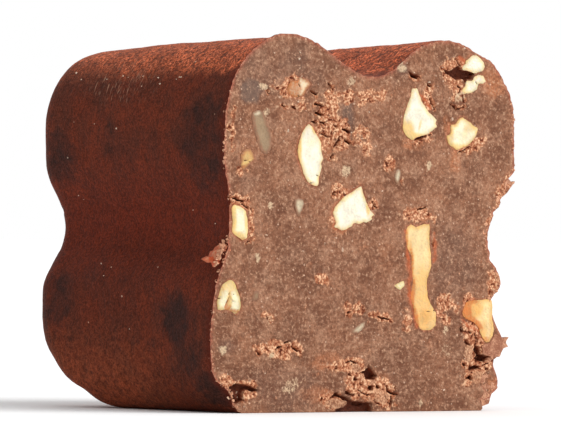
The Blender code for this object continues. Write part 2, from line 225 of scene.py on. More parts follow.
class Graph:
    """The shader nodes of one material or world."""

    def __init__(self, tree: bpy.types.NodeTree) -> None:
        """Empties the tree and builds in it."""
        self.tree = tree
        self.tree.nodes.clear()

    def node(self, kind: str, settings: dict[str, Any], inputs: dict[Any, Any]) -> bpy.types.Node:
        """Adds a node.

        Args:
            kind: The node's type.
            settings: Its own settings, which are set first.
            inputs: Values or links by the socket's name or number.

        Returns:
            The node.
        """
        made = self.tree.nodes.new(kind)
        for name, value in settings.items():
            setattr(made, name, value)
        for name, value in inputs.items():
            socket = made.inputs[name]
            source = value.socket if isinstance(value, Wire) else value
            if isinstance(source, bpy.types.NodeSocket):
                self.tree.links.new(source, socket)
            elif socket.type == "RGBA":
                socket.default_value = (*source, 1.0)
            else:
                socket.default_value = source
        return made

    def wire(self, kind: str, settings: dict[str, Any], inputs: dict[Any, Any], output: Any = 0) -> Wire:
        """Adds a node and returns one of its outputs as a value."""
        return Wire(self, self.node(kind, settings, inputs).outputs[output])

    def place(self) -> bpy.types.NodeSocket:
        """Where a point lies, in millimetres."""
        spot = self.node("ShaderNodeTexCoord", {}, {}).outputs["Object"]
        return self.vector("SCALE", spot, Scale=1 / MM)

    def vector(self, operation: str, first: Any, second: Any = None, **others: Any) -> Any:
        """Adds a Vector Math node.

        Args:
            operation: The node's operation.
            first: Its first vector.
            second: Its second vector, if it takes one.
            others: Other inputs by name.

        Returns:
            The output socket, which is a number for a dot product and otherwise a vector.
        """
        inputs = {0: first, **others}
        if second is not None:
            inputs[1] = second
        made = self.node("ShaderNodeVectorMath", {"operation": operation}, inputs)
        return made.outputs["Value" if operation == "DOT_PRODUCT" else "Vector"]

    def noise(self, place: Any, span: float, detail: float = 2.0, rough: float = 0.5) -> Wire:
        """Smooth noise from 0 to 1 whose swells are span millimetres apart."""
        inputs = {"Vector": place, "Scale": 1 / span, "Detail": detail, "Roughness": rough}
        return self.wire("ShaderNodeTexNoise", {}, inputs, "Fac")

    def stretched(self, place: Any, spans: Sequence[float], detail: float = 2.0) -> Wire:
        """Noise with its own distance between swells along each axis."""
        scaled = self.vector("MULTIPLY", place, tuple(1 / span for span in spans))
        return self.noise(scaled, 1.0, detail)

    def flecks(self, place: Any, span: float, radius: float, share: float) -> Wire:
        """Round flecks.

        Args:
            place: Where a point lies.
            span: Distance from one possible fleck to the next.
            radius: Radius of a fleck.
            share: Share of the possible flecks that are there.

        Returns:
            1 in a fleck and 0 outside it.
        """
        inputs = {"Vector": place, "Scale": 1 / span}
        cell = self.node("ShaderNodeTexVoronoi", {}, inputs)
        pick = self.node("ShaderNodeSeparateColor", {}, {0: cell.outputs["Color"]}).outputs[0]
        near = Wire(self, cell.outputs["Distance"]).between(radius / span, 0.5 * radius / span)
        return near * (Wire(self, pick) < share)

    def trait(self, trait: "Trait") -> Wire:
        """What the mesh records for a trait."""
        settings = {"attribute_name": trait.value, "attribute_type": "GEOMETRY"}
        return self.wire("ShaderNodeAttribute", settings, {}, "Fac")

    def mix(self, share: Any, first: Any, second: Any, blend: str = "MIX") -> bpy.types.NodeSocket:
        """Mixes two colours.

        Args:
            share: 0 for the first colour and 1 for the second one.
            first: A colour or a link.
            second: A colour or a link.
            blend: How the second colour is laid over the first.

        Returns:
            The mixed colour.
        """
        settings = {"data_type": "RGBA", "blend_type": blend, "clamp_factor": True}
        made = self.node("ShaderNodeMix", settings, {0: share, 6: first, 7: second})
        return made.outputs[2]

    def coats(self, colour: Any, *layers: tuple[Any, Any]) -> Any:
        """Lays colours over one another.

        Args:
            colour: The first colour.
            layers: The others in order, each as its share and its colour.

        Returns:
            The mixed colour.
        """
        for share, over in layers:
            colour = self.mix(share, colour, over)
        return colour

    def speckled(self, colour: Any, speckle: Wire, depth: Any) -> bpy.types.NodeSocket:
        """Darkens and lightens a colour by a noise from 0 to 1, at most depth each way."""
        return self.mix(1.0, colour, speckle.between(0.25, 0.75) * (2 * depth) + (1 - depth), "MULTIPLY")

    def bump(self, height: Wire, rise: float, strength: float = 1.0) -> bpy.types.NodeSocket:
        """A normal for a surface that rises by rise millimetres where height is 1."""
        inputs = {"Strength": strength, "Distance": rise * MM, "Height": height}
        return self.node("ShaderNodeBump", {}, inputs).outputs["Normal"]

    def surface(self, **inputs: Any) -> None:
        """Ends a material in a Principled shader whose sockets are given with _ for a space.

        Args:
            inputs: Values or links of its sockets.
        """
        named = {name.replace("_", " "): value for name, value in inputs.items()}
        shader = self.node("ShaderNodeBsdfPrincipled", {}, named)
        self.node("ShaderNodeOutputMaterial", {}, {"Surface": shader.outputs[0]})


class Trait(Enum):
    """What a mesh records at each point for its finish to read, from 0 to 1."""

    CRUMB = "crumb"
    # How light a point is: torn ganache's own paler colour with a painted highlight on raised crumbs, and
    # painted bounce light on the skin's foot.
    LIGHT = "light"
    # Painted shade in cracks, pits and pockets.
    DEEP = "deep"
    HALO = "halo"
    WARM = "warm"
    PALE = "pale"
    GREY = "grey"
    RIM = "rim"
    # Painted highlight along the tops of the crests.
    CREST = "crest"
    BRUISE = "bruise"
    SCRATCH = "scratch"
    EDGE = "edge"
    GOLD = "gold"
    BROWN = "brown"
    TONE = "tone"
    DUSK = "dusk"


Traits = dict[Trait, Any]


# ---- Finishes ----


@dataclass(frozen=True)
class Finish:
    """A material that is built from nodes."""

    name: str

    def material(self) -> bpy.types.Material:
        """Makes the material.

        Returns:
            The material.
        """
        made = bpy.data.materials.new(self.name)
        made.use_nodes = True
        self.build(Graph(made.node_tree))
        return made

    def build(self, graph: Graph) -> None:
        """Adds the finish's nodes to a graph."""
        raise NotImplementedError


@dataclass(frozen=True)
class SkinFinish(Finish):
    """Moulded outside of the bar: red-brown, dusty, with dark bruises and scratches, a painted highlight on
    the tops of the crests and painted bounce light on the foot.
    """

    name: str = "skin"
    red: Colour = linear(108, 47, 28)
    brown: Colour = linear(92, 44, 29)
    blush: Colour = linear(106, 38, 20)
    # Painted highlight on the tops of the crests, also the colour of the painted bounce light on the foot.
    crest: Colour = linear(182, 92, 58)
    bruise: Colour = linear(54, 33, 28)
    stain: Colour = linear(78, 41, 28)
    rim: Colour = linear(96, 34, 19)
    pale: Colour = linear(208, 160, 130)

    def build(self, graph: Graph) -> None:
        """Adds the finish's nodes to a graph.

        Args:
            graph: The material's graph.
        """
        place = graph.place()
        mottle = graph.noise(place, 2.6, 3.0)
        cloud = graph.noise(place, 0.9, 3.0, 0.6)
        stipple = graph.noise(place, 0.15, 3.0, 0.7)
        dust = graph.noise(place, 0.42, 3.0, 0.6)
        dusty = dust.between(0.3, 0.6)
        # Painted highlight along the tops of the crests, broken up by the mottling.
        crest = graph.trait(Trait.CREST) * (0.7 + 0.4 * mottle.between(0.62, 0.4))
        bruise = (graph.trait(Trait.BRUISE) + 1.3 * (cloud - 0.5) + 0.4 * (mottle - 0.5)).between(0.1, 1.1)
        scratch = graph.stretched(place, (0.5, 0.11, 0.9), 1.0).between(0.6, 0.72)
        colour = graph.coats(
            self.red,
            (mottle.between(0.35, 0.65), self.brown),
            (cloud.between(0.5, 0.72) * 0.5, self.stain),
            (graph.trait(Trait.WARM) * 0.7, self.blush),
            # Painted bounce light from the floor on the foot.
            (graph.trait(Trait.LIGHT) * (0.5 + 0.5 * dusty), self.crest),
            (crest * (0.6 + 0.4 * dusty), self.crest),
            (bruise * 0.9, self.bruise),
        )
        # Dust and stipple show more strongly in the crests' painted highlight.
        colour = graph.speckled(colour, dust, 0.25 + 0.35 * crest)
        colour = graph.coats(
            graph.speckled(colour, stipple, 0.55 + 0.45 * crest),
            (stipple.between(0.5, 0.36) * crest * 0.5, self.stain),
            (stipple.between(0.56, 0.7) * crest * 0.5, self.pale),
            (scratch * graph.trait(Trait.SCRATCH) * 0.45, self.pale),
            (graph.trait(Trait.RIM), self.rim),
            (graph.flecks(place, 0.8, 0.09, 0.03) * 0.8, self.pale),
        )
        graph.surface(
            Base_Color=colour, Roughness=0.6 + 0.2 * dust, Specular_IOR_Level=0.08,
            Normal=graph.bump(0.6 * stipple + 0.8 * dust, 0.13),
        )


@dataclass(frozen=True)
class CutFinish(Finish):
    """Cut ganache: dull brown where the knife smoothed it, orange and ragged where it tore, with painted
    shade in its cracks, pits and pockets.
    """

    name: str = "cut"
    brown: Colour = linear(160, 109, 81)
    dark: Colour = linear(126, 83, 61)
    grey: Colour = linear(118, 92, 79)
    warm: Colour = linear(186, 116, 78)
    pale: Colour = linear(212, 182, 148)
    fleck: Colour = linear(196, 150, 120)
    dot: Colour = linear(222, 186, 160)
    pore: Colour = linear(104, 62, 44)
    # Torn ganache from lump to shade: paler than the cut, partly its own colour and partly a painted
    # highlight on raised crumbs, with painted shade in the hollows.
    lump: Colour = linear(240, 190, 150)
    torn: Colour = linear(198, 134, 98)
    shade: Colour = linear(164, 96, 64)
    # crack is painted shade in cracks and shallow hollows.
    crack: Colour = linear(112, 52, 31)
    halo: Colour = linear(204, 98, 54)
    rim: Colour = linear(190, 108, 86)
    # Painted shade deep in pits and hollows.
    hollow_shade: Colour = linear(76, 40, 28)

    def build(self, graph: Graph) -> None:
        """Adds the finish's nodes to a graph.

        Args:
            graph: The material's graph.
        """
        place = graph.place()
        mottle = graph.noise(place, 2.2, 4.0, 0.6)
        cloud = graph.noise(place, 1.3, 3.0, 0.55)
        blotch = graph.noise(place, 0.62, 3.0, 0.6)
        felt = graph.noise(place, 0.26, 3.0, 0.65)
        fine = graph.noise(place, 0.15, 2.0, 0.7)
        drag = graph.stretched(place, (1.1, 1.0, 0.24), 3.0)
        # Fine cracks in the torn ganache, painted in shade and sunk by the bump.
        seam = self.line(graph, 0.55, 3.0).between(0.035, 0.012)
        hair = self.line(graph, 3.2, 4.0).between(0.007, 0.002)
        dots = graph.flecks(place, 0.5, 0.09, 0.3)
        crumb, deep, dusk, grey = map(graph.trait, (Trait.CRUMB, Trait.DEEP, Trait.DUSK, Trait.GREY))
        dragged = 0.1 + 0.5 * dusk
        warm = (graph.trait(Trait.WARM) + 0.9 * (blotch - 0.5) + 0.5 * (felt - 0.5)).between(0.15, 1.0)
        pale = (graph.trait(Trait.PALE) + 1.8 * (felt - 0.5) + 1.2 * (fine - 0.5)).between(0.2, 0.95)
        halo = (graph.trait(Trait.HALO) + 0.7 * (blotch - 0.5) + 0.6 * (felt - 0.5)).between(0.05, 1.3)
        light = graph.trait(Trait.LIGHT) + 1.9 * (fine - 0.5) + 0.8 * (felt - 0.5)
        torn = graph.coats(
            self.shade,
            (light.between(0.05, 0.45), self.torn),
            (light.between(0.5, 0.95), self.lump),
            (seam * crumb.between(0.5, 0.9) * 0.8, self.crack),
        )
        colour = graph.coats(
            self.brown,
            (mottle.between(0.36, 0.7) + dusk * 0.35, self.dark),
            ((grey + 0.7 * (blotch - 0.5)) * (0.7 + 0.6 * mottle), self.grey),
            (warm * 0.8, self.warm),
            (graph.trait(Trait.RIM) * 0.7, self.rim),
            (blotch.between(0.54, 0.72) * 0.45, self.fleck),
            (blotch.between(0.48, 0.3) * 0.5, self.pore),
            (cloud.between(0.52, 0.7) * 0.3, self.fleck),
            (cloud.between(0.46, 0.3) * 0.3, self.pore),
            (felt.between(0.53, 0.62) * 0.5, self.fleck),
            (felt.between(0.46, 0.36) * 0.5, self.pore),
            (drag.between(0.52, 0.72) * dragged * 0.4, self.fleck),
            (drag.between(0.46, 0.28) * dragged * 0.4, self.pore),
            ((grey + 0.4 * (cloud - 0.5)).between(0.45, 1.0) * 0.7, self.grey),
            (dots * 0.7 + hair * 0.3, self.dot),
            ((crumb + 0.5 * (felt - 0.5)).between(0.1, 0.9), torn),
            (pale * 0.9, self.pale),
        )
        # Painted shade in cracks, slits, pits and pockets.
        colour = graph.coats(
            graph.speckled(colour, fine, 0.22),
            (halo * 0.9, self.halo),
            (deep.between(0.05, 0.6), self.crack),
            ((deep + 0.5 * (felt - 0.5)).between(0.6, 1.1), self.hollow_shade),
        )
        height = (0.4 * fine + 0.7 * felt + 0.5 * blotch) * (1 + 0.5 * crumb) - 0.8 * seam * crumb
        graph.surface(
            Base_Color=colour, Roughness=0.55 + 0.25 * fine, Specular_IOR_Level=0.14,
            Normal=graph.bump(height, 0.12),
        )

    @staticmethod
    def line(graph: Graph, span: float, detail: float) -> Wire:
        """0 along wandering lines, which lie where noise crosses its middle."""
        return (graph.noise(graph.place(), span, detail, 0.65) - 0.5).maths("ABSOLUTE")


@dataclass(frozen=True)
class CrumbFinish(Finish):
    """Loose crumbs of ganache, each a little lighter or redder than the next."""

    name: str = "crumb"
    light: Colour = linear(228, 170, 134)
    dark: Colour = linear(150, 92, 66)
    warm: Colour = linear(206, 94, 54)

    def build(self, graph: Graph) -> None:
        """Adds the finish's nodes to a graph.

        Args:
            graph: The material's graph.
        """
        fine = graph.noise(graph.place(), 0.14, 3.0, 0.65)
        tone = graph.trait(Trait.TONE) + 1.2 * (fine - 0.5)
        warm = (graph.trait(Trait.WARM) + 1.4 * (fine - 0.5)).between(0.1, 1.0)
        graph.surface(
            Base_Color=graph.coats(self.dark, (tone.between(0.1, 0.9), self.light), (warm, self.warm)),
            Roughness=0.5 + 0.25 * fine, Specular_IOR_Level=0.3, Normal=graph.bump(fine, 0.05),
        )


@dataclass(frozen=True)
class NutFinish(Finish):
    """Waxy nut flesh with a warmer edge and, here and there, brown skin, with painted shade in its cracks.
    """

    core: Colour = linear(249, 240, 218)
    edge: Colour = linear(240, 214, 164)
    rind: Colour = linear(206, 150, 96)
    gold: Colour = linear(236, 196, 124)
    brown: Colour = linear(190, 112, 62)
    # Painted shade in the nut's cracks.
    hollow_shade: Colour = linear(96, 62, 34)
    glow: float = 0.25
    rind_from: float = 0.8
    rind_to: float = 1.2
    rind_share: float = 0.5

    def build(self, graph: Graph) -> None:
        """Adds the finish's nodes to a graph.

        Args:
            graph: The material's graph.
        """
        place = graph.place()
        cloud = graph.noise(place, 0.8, 3.0, 0.6)
        fine = graph.noise(place, 0.2, 3.0, 0.6)
        edge = graph.trait(Trait.EDGE) + 0.6 * (cloud - 0.5) + 0.5 * (fine - 0.5)
        gold = (graph.trait(Trait.GOLD) + 0.6 * (cloud - 0.5) + 0.3 * (fine - 0.5)).between(0.0, 1.2)
        brown = (graph.trait(Trait.BROWN) + 1.2 * (fine - 0.5) + 0.8 * (cloud - 0.5)).between(0.1, 1.2)
        # Painted shade in the cracks.
        deep = (graph.trait(Trait.DEEP) + 0.5 * (fine - 0.5)).between(0.3, 0.8)
        colour = graph.coats(
            self.core,
            (edge.between(0.3, 1.0), self.edge),
            (gold, self.gold),
            (edge.between(self.rind_from, self.rind_to) * self.rind_share, self.rind),
            (brown * 0.85, self.brown),
        )
        colour = graph.speckled(graph.speckled(colour, cloud, 0.14), fine, 0.05)
        graph.surface(
            Base_Color=graph.mix(deep, colour, self.hollow_shade), Roughness=0.42 + 0.2 * fine,
            Specular_IOR_Level=0.25, Subsurface_Weight=self.glow, Subsurface_Radius=(1.0, 0.6, 0.3),
            Subsurface_Scale=0.6 * MM, Normal=graph.bump(cloud + 0.4 * fine, 0.1),
        )


@dataclass(frozen=True)
class SpeckFinish(Finish):
    """Pale specks of nut meal and sugar."""

    name: str = "speck"
    white: Colour = linear(232, 208, 184)
    tan: Colour = linear(196, 152, 120)

    def build(self, graph: Graph) -> None:
        """Adds the finish's nodes to a graph.

        Args:
            graph: The material's graph.
        """
        fine = graph.noise(graph.place(), 0.1, 2.0)
        colour = graph.mix(graph.trait(Trait.TONE) + 0.5 * (fine - 0.5), self.tan, self.white)
        graph.surface(Base_Color=colour, Roughness=0.4 + 0.2 * fine, Normal=graph.bump(fine, 0.02))


@dataclass(frozen=True)
class FloorFinish(Finish):
    """Matt white card under the bar."""

    name: str = "floor"
    white: Colour = (0.96, 0.96, 0.96)
    dull: Colour = (0.95, 0.95, 0.95)

    def build(self, graph: Graph) -> None:
        """Adds the finish's nodes to a graph."""
        colour = graph.mix(graph.noise(graph.place(), 40.0, 2.0), self.white, self.dull)
        graph.surface(Base_Color=colour, Roughness=0.9, Specular_IOR_Level=0.0)


class NutTone(Enum):
    """The kinds of nut flesh in the bar."""

    IVORY = NutFinish("nut_ivory")
    CREAM = NutFinish("nut_cream", core=linear(250, 238, 205), edge=linear(240, 214, 152))
    GOLDEN = NutFinish(
        "nut_golden", core=linear(246, 214, 158), edge=linear(236, 188, 120), gold=linear(234, 178, 104),
        brown=linear(206, 112, 52),
    )
    MIXED = NutFinish("nut_mixed", core=linear(246, 236, 200), edge=linear(208, 180, 122))
    HONEY = NutFinish(
        "nut_honey", core=linear(252, 240, 206), edge=linear(234, 196, 132), rind=linear(190, 128, 76),
        rind_share=0.8,
    )
    CLEAR = NutFinish(
        "nut_clear", core=linear(158, 131, 101), edge=linear(146, 108, 82), rind=linear(150, 106, 80),
        gold=linear(224, 208, 176), brown=linear(168, 112, 76), glow=0.1, rind_from=0.55, rind_to=1.0,
        rind_share=0.9,
    )
    TAN = NutFinish(
        "nut_tan", core=linear(214, 172, 112), edge=linear(190, 130, 82), rind=linear(158, 106, 76),
        rind_from=0.6, rind_to=1.1, rind_share=0.9,
    )
    DULL = NutFinish(
        "nut_dull", core=linear(236, 214, 182), edge=linear(206, 152, 106), rind=linear(168, 108, 76),
        brown=linear(192, 114, 60), rind_from=0.55, rind_to=1.05, rind_share=0.9,
    )


# ---- Meshes ----


@dataclass(frozen=True)
class Placing:
    """Moves drawn millimetres into the model's frame."""

    shift: Place
    low: Array
    high: Array

    def metres(self, points: Array) -> Array:
        """Moves points into the frame, where they keep to the model's box.

        Args:
            points: One drawn point a row.

        Returns:
            The points in metres.
        """
        return np.clip((points + self.shift) * MM, self.low, self.high)

    def drawn(self, obj: bpy.types.Object) -> Array:
        """The points of one of the model's objects in drawn millimetres."""
        return np.array([vertex.co for vertex in obj.data.vertices], float) / MM - self.shift


@dataclass
class Shape:
    """Points, faces and traits that grow until they are made into a mesh."""

    points: list[Array] = field(default_factory=list)
    faces: list[tuple[int, ...]] = field(default_factory=list)
    slots: list[int] = field(default_factory=list)
    traits: list[Traits] = field(default_factory=list)
    count: int = 0

    def add_points(self, points: Array, traits: Traits) -> int:
        """Adds points.

        Args:
            points: One point a row.
            traits: One value, or one value a point, for each trait that isn't 0.

        Returns:
            The number of the first of them.
        """
        first = self.count
        self.points.append(points)
        self.traits.append({name: np.broadcast_to(v, len(points)) for name, v in traits.items()})
        self.count += len(points)
        return first

    def add_faces(self, faces: Sequence[Sequence[int]], slot: int = 0, first: int = 0) -> None:
        """Adds faces that have the material in a slot, with point numbers counted from first."""
        self.faces += [tuple(first + corner for corner in face) for face in faces]
        self.slots += [slot] * len(faces)

    def bridge(self, first: int, second: int, count: int, slot: int = 0) -> None:
        """Joins two rings of as many points with triangles.

        Args:
            first: The number of one ring's first point.
            second: That of the other's.
            count: How many points each ring has.
            slot: The slot of their material.
        """
        faces = []
        for side in range(count):
            ahead = (side + 1) % count
            faces.append((first + side, first + ahead, second + ahead))
            faces.append((first + side, second + ahead, second + side))
        self.add_faces(faces, slot)

    def narrow(self, first: int, second: int, count: int, slot: int = 0) -> None:
        """Joins a ring of three times count points with one of count points.

        Args:
            first: The number of the finer ring's first point.
            second: That of the coarser one's.
            count: How many points the coarser ring has.
            slot: The slot of their material.
        """
        faces = []
        for side in range(count):
            ahead = (side + 1) % count
            fine = [first + (3 * side + move) % (3 * count) for move in range(4)]
            faces.append((fine[0], fine[1], second + side))
            faces.append((fine[1], fine[2], second + side))
            faces.append((fine[2], second + ahead, second + side))
            faces.append((fine[2], fine[3], second + ahead))
        self.add_faces(faces, slot)

    def fan(self, ring: int, tip: int, count: int, slot: int = 0) -> None:
        """Closes a ring of count points with triangles to a tip."""
        self.add_faces([(ring + side, ring + (side + 1) % count, tip) for side in range(count)], slot)

    def add_rings(self, before: int, rings: Sequence[tuple[Array, Traits]], slot: int = 0) -> int:
        """Adds rings, each joined to the one before it.

        Args:
            before: The number of the first point of the ring that they go on from.
            rings: Each ring's points, and its traits.
            slot: The slot of their material.

        Returns:
            The number of the last ring's first point.
        """
        for points, traits in rings:
            first = self.add_points(points, traits)
            self.bridge(before, first, len(points), slot)
            before = first
        return before

    def gather(self, trait: Trait) -> Array:
        """A trait's value at every point."""
        rows = [t.get(trait, np.zeros(len(p))) for t, p in zip(self.traits, self.points)]
        return np.concatenate(rows).astype(np.float32)

    def piece(
        self, name: str, placing: Placing, finishes: Sequence[bpy.types.Material], crease: float = 55.0
    ) -> bpy.types.Object:
        """Makes the object.

        Args:
            name: Its name.
            placing: Where drawn points go.
            finishes: The materials of its slots.
            crease: Angle in degrees from which an edge is sharp.

        Returns:
            The object, linked to the scene.
        """
        mesh = bpy.data.meshes.new(name)
        mesh.from_pydata(placing.metres(np.concatenate(self.points)).tolist(), [], self.faces)
        mesh.polygons.foreach_set("material_index", self.slots)
        for finish in finishes:
            mesh.materials.append(finish)
        for trait in sorted({trait for traits in self.traits for trait in traits}, key=str):
            attribute = mesh.attributes.new(trait.value, "FLOAT", "POINT")
            attribute.data.foreach_set("value", self.gather(trait))
        shape = bmesh.new()
        shape.from_mesh(mesh)
        bmesh.ops.recalc_face_normals(shape, faces=shape.faces)
        shape.to_mesh(mesh)
        shape.free()
        mesh.shade_smooth()
        mesh.set_sharp_from_angle(angle=math.radians(crease))
        return linked(name, mesh)


def linked(name: str, data: Any) -> bpy.types.Object:
    """Adds an object to the scene.

    Args:
        name: Its name.
        data: Its mesh, light or camera.

    Returns:
        The object.
    """
    obj = bpy.data.objects.new(name, data)
    bpy.context.scene.collection.objects.link(obj)
    return obj


def stood(flat: Array, depth: Any) -> Array:
    """Places on the cut face, across and up, as points that stand back by a depth."""
    return np.column_stack([flat[:, 0], np.broadcast_to(depth, len(flat)), flat[:, 1]])


def even_outline(points: Array, count: int) -> Array:
    """Points at equal steps along a closed line.

    Args:
        points: The line's points.
        count: How many points to return.

    Returns:
        The new points, the first one kept.
    """
    closed = np.vstack([points, points[:1]])
    run = np.concatenate([[0], np.cumsum(np.linalg.norm(np.diff(closed, axis=0), axis=1))])
    wanted = np.linspace(0, run[-1], count, endpoint=False)
    return np.column_stack([np.interp(wanted, run, closed[:, axis]) for axis in (0, 1)])


def grown(outline: Array, gap: float) -> Array:
    """A closed outline moved outwards by gap, or inwards where gap is under 0.

    Args:
        outline: The outline's points.
        gap: How far each of them moves.

    Returns:
        The moved points.
    """
    ahead, behind = np.roll(outline, -1, axis=0), np.roll(outline, 1, axis=0)
    along = ahead - behind
    across = np.column_stack([along[:, 1], -along[:, 0]])
    across /= np.linalg.norm(across, axis=1)[:, None] + 1e-9
    turning = (outline[:, 0] * ahead[:, 1] - ahead[:, 0] * outline[:, 1]).sum()
    return outline + across * gap * math.copysign(1, turning)


def softened(outline: Array, cut: float) -> Array:
    """Cuts the corners off a closed outline, each by a share of the sides that meet there.

    Args:
        outline: The outline's points.
        cut: Share of a side that goes at each of its ends.

    Returns:
        Twice as many points.
    """
    ahead = np.roll(outline, -1, axis=0)
    corners = [outline + cut * (ahead - outline), ahead + cut * (outline - ahead)]
    return np.stack(corners, axis=1).reshape(-1, 2)


def perimeter(outline: Array) -> float:
    """Length of a closed outline."""
    return float(np.linalg.norm(np.roll(outline, -1, axis=0) - outline, axis=1).sum())


def inside(outline: Array, places: Array) -> Array:
    """Tells which places lie inside a closed outline.

    Args:
        outline: The outline's points.
        places: One place a row.

    Returns:
        True for each place inside it.
    """
    ahead = np.roll(outline, -1, axis=0)
    found = np.zeros(len(places), bool)
    for start, end in zip(outline, ahead):
        crosses = (start[1] > places[:, 1]) != (end[1] > places[:, 1])
        rise = end[1] - start[1] or 1.0
        at = start[0] + (places[:, 1] - start[1]) * (end[0] - start[0]) / rise
        found ^= crosses & (places[:, 0] < at)
    return found


def distance_to(outline: Array, places: Array, reach: float) -> Array:
    """How far places are from the nearest of an outline's points.

    Args:
        outline: The outline's points.
        places: One place a row.
        reach: The largest distance of interest.

    Returns:
        The distances, none of them over reach.
    """
    found = np.full(len(places), reach)
    low, high = outline.min(axis=0) - reach, outline.max(axis=0) + reach
    near = np.flatnonzero(((places > low) & (places < high)).all(axis=1))
    for chunk in np.array_split(near, max(1, len(near) // 4000)):
        if len(chunk):
            apart = places[chunk][:, None, :] - outline[None, :, :]
            found[chunk] = np.minimum(reach, np.sqrt((apart**2).sum(axis=2).min(axis=1)))
    return found


def side_distance(outline: Array, places: Array) -> Array:
    """How far places are from the nearest side of a closed outline.

    Args:
        outline: The outline's points.
        places: One place a row.

    Returns:
        One distance a place.
    """
    found = np.full(len(places), math.inf)
    for start, end in zip(outline, np.roll(outline, -1, axis=0)):
        way = end - start
        along = np.clip((places - start) @ way / (way @ way), 0.0, 1.0)
        found = np.minimum(found, np.linalg.norm(places - start - along[:, None] * way, axis=1))
    return found


# ---- Section and skin ----


class Law(Enum):
    """How a stretch of the section runs from its start to its end."""

    STRAIGHT = "straight"
    LEVEL_SWAY = "starts and ends level"
    UPRIGHT_SWAY = "starts and ends upright"
    SHOULDER = "starts level and ends upright"
    FOOT = "starts upright and ends level"

    def shares(self, run: Array, fullness: float) -> tuple[Array, Array]:
        """Shares of the way along X and up Z.

        Args:
            run: Shares of the stretch, from 0 to 1.
            fullness: Under 1 makes a shoulder or foot fuller than an ellipse.

        Returns:
            The share along and the share up at each of them.
        """
        if self is Law.STRAIGHT:
            return run, run
        if self is Law.LEVEL_SWAY:
            return run, ease(run)
        if self is Law.UPRIGHT_SWAY:
            return ease(run), run
        turn = run * math.pi / 2
        level, upright = np.sin(turn) ** fullness, 1 - np.cos(turn) ** fullness
        return (level, upright) if self is Law.SHOULDER else (upright, level)


@dataclass(frozen=True)
class Side:
    """One side of the section: widths outwards from the middle, each lobe upright for a stretch."""

    crest_x: float
    crest_z: float
    upper_half: float
    upper_top_z: float
    upper_low_z: float
    waist_half: float
    waist_z: float
    lower_half: float
    lower_top_z: float
    lower_low_z: float
    base_half: float


@dataclass(frozen=True)
class Bulge:
    """A stretch of skin that is pushed out, or with a reach under 0 sunk or broken away."""

    x: float
    z: float
    reach: float
    half_width: float
    depth: float
    behind: float = 0.0


@dataclass(frozen=True)
class Spot:
    """An oval patch, leaning by turn degrees, whose strength fades towards its edge."""

    x: float
    z: float
    half_x: float
    half_z: float
    strength: float = 1.0
    turn: float = 0.0

    def share(self, places: Array) -> Array:
        """Strength at places, fading on both sides of the edge.

        Args:
            places: One place a row.

        Returns:
            One share a place.
        """
        cos, sin = math.cos(math.radians(self.turn)), math.sin(math.radians(self.turn))
        apart = places - (self.x, self.z)
        along = apart[:, 0] * cos + apart[:, 1] * sin
        across = apart[:, 1] * cos - apart[:, 0] * sin
        return self.strength * ease(1.5 - np.hypot(along / self.half_x, across / self.half_z))


@dataclass(frozen=True)
class Slit:
    """A crack on the cut face, from a start to an end."""

    x: float
    z: float
    end_x: float
    end_z: float
    width: float
    depth: float

    def share(self, places: Array, lip: float = 0.0) -> Array:
        """1 in the crack's middle, fading to 0 past its sides, or past a lip beside them.

        Args:
            places: One place a row.
            lip: Width of a lip on each side.

        Returns:
            One share a place.
        """
        start = np.array((self.x, self.z))
        way = np.array((self.end_x, self.end_z)) - start
        length = max(float(way @ way), 1e-6)
        along = np.clip((places - start) @ way / length, 0.0, 1.0)
        apart = np.linalg.norm(places - start - along[:, None] * way, axis=1)
        taper = 1 - 0.35 * np.abs(2 * along - 1)
        return np.exp(-((apart / (0.42 * self.width * taper + lip)) ** 2))


@dataclass(frozen=True)
class Patch:
    """A patch of the cut face with sharp corners: a hole, or a smooth block between cracks."""

    depth: float
    corners: tuple[Spread, ...]

    def share(self, places: Array, blur: float) -> Array:
        """1 inside the patch, fading to 0 across its edge.

        Args:
            places: One place a row.
            blur: How far from its outline the patch fades out.

        Returns:
            One share a place.
        """
        outline = np.array(self.corners)
        low, high = outline.min(axis=0) - blur, outline.max(axis=0) + blur
        near = np.flatnonzero(((places > low) & (places < high)).all(axis=1))
        apart = side_distance(outline, places[near])
        found = np.zeros(len(places))
        found[near] = step(np.where(inside(outline, places[near]), apart, -apart), -blur, blur)
        return found


def gathered(marks: Sequence[Union[Spot, Slit]], places: Array) -> Array:
    """The strength of a set of marks at places, 1 at most."""
    return np.clip(sum((mark.share(places) for mark in marks), np.zeros(len(places))), 0.0, 1.0)


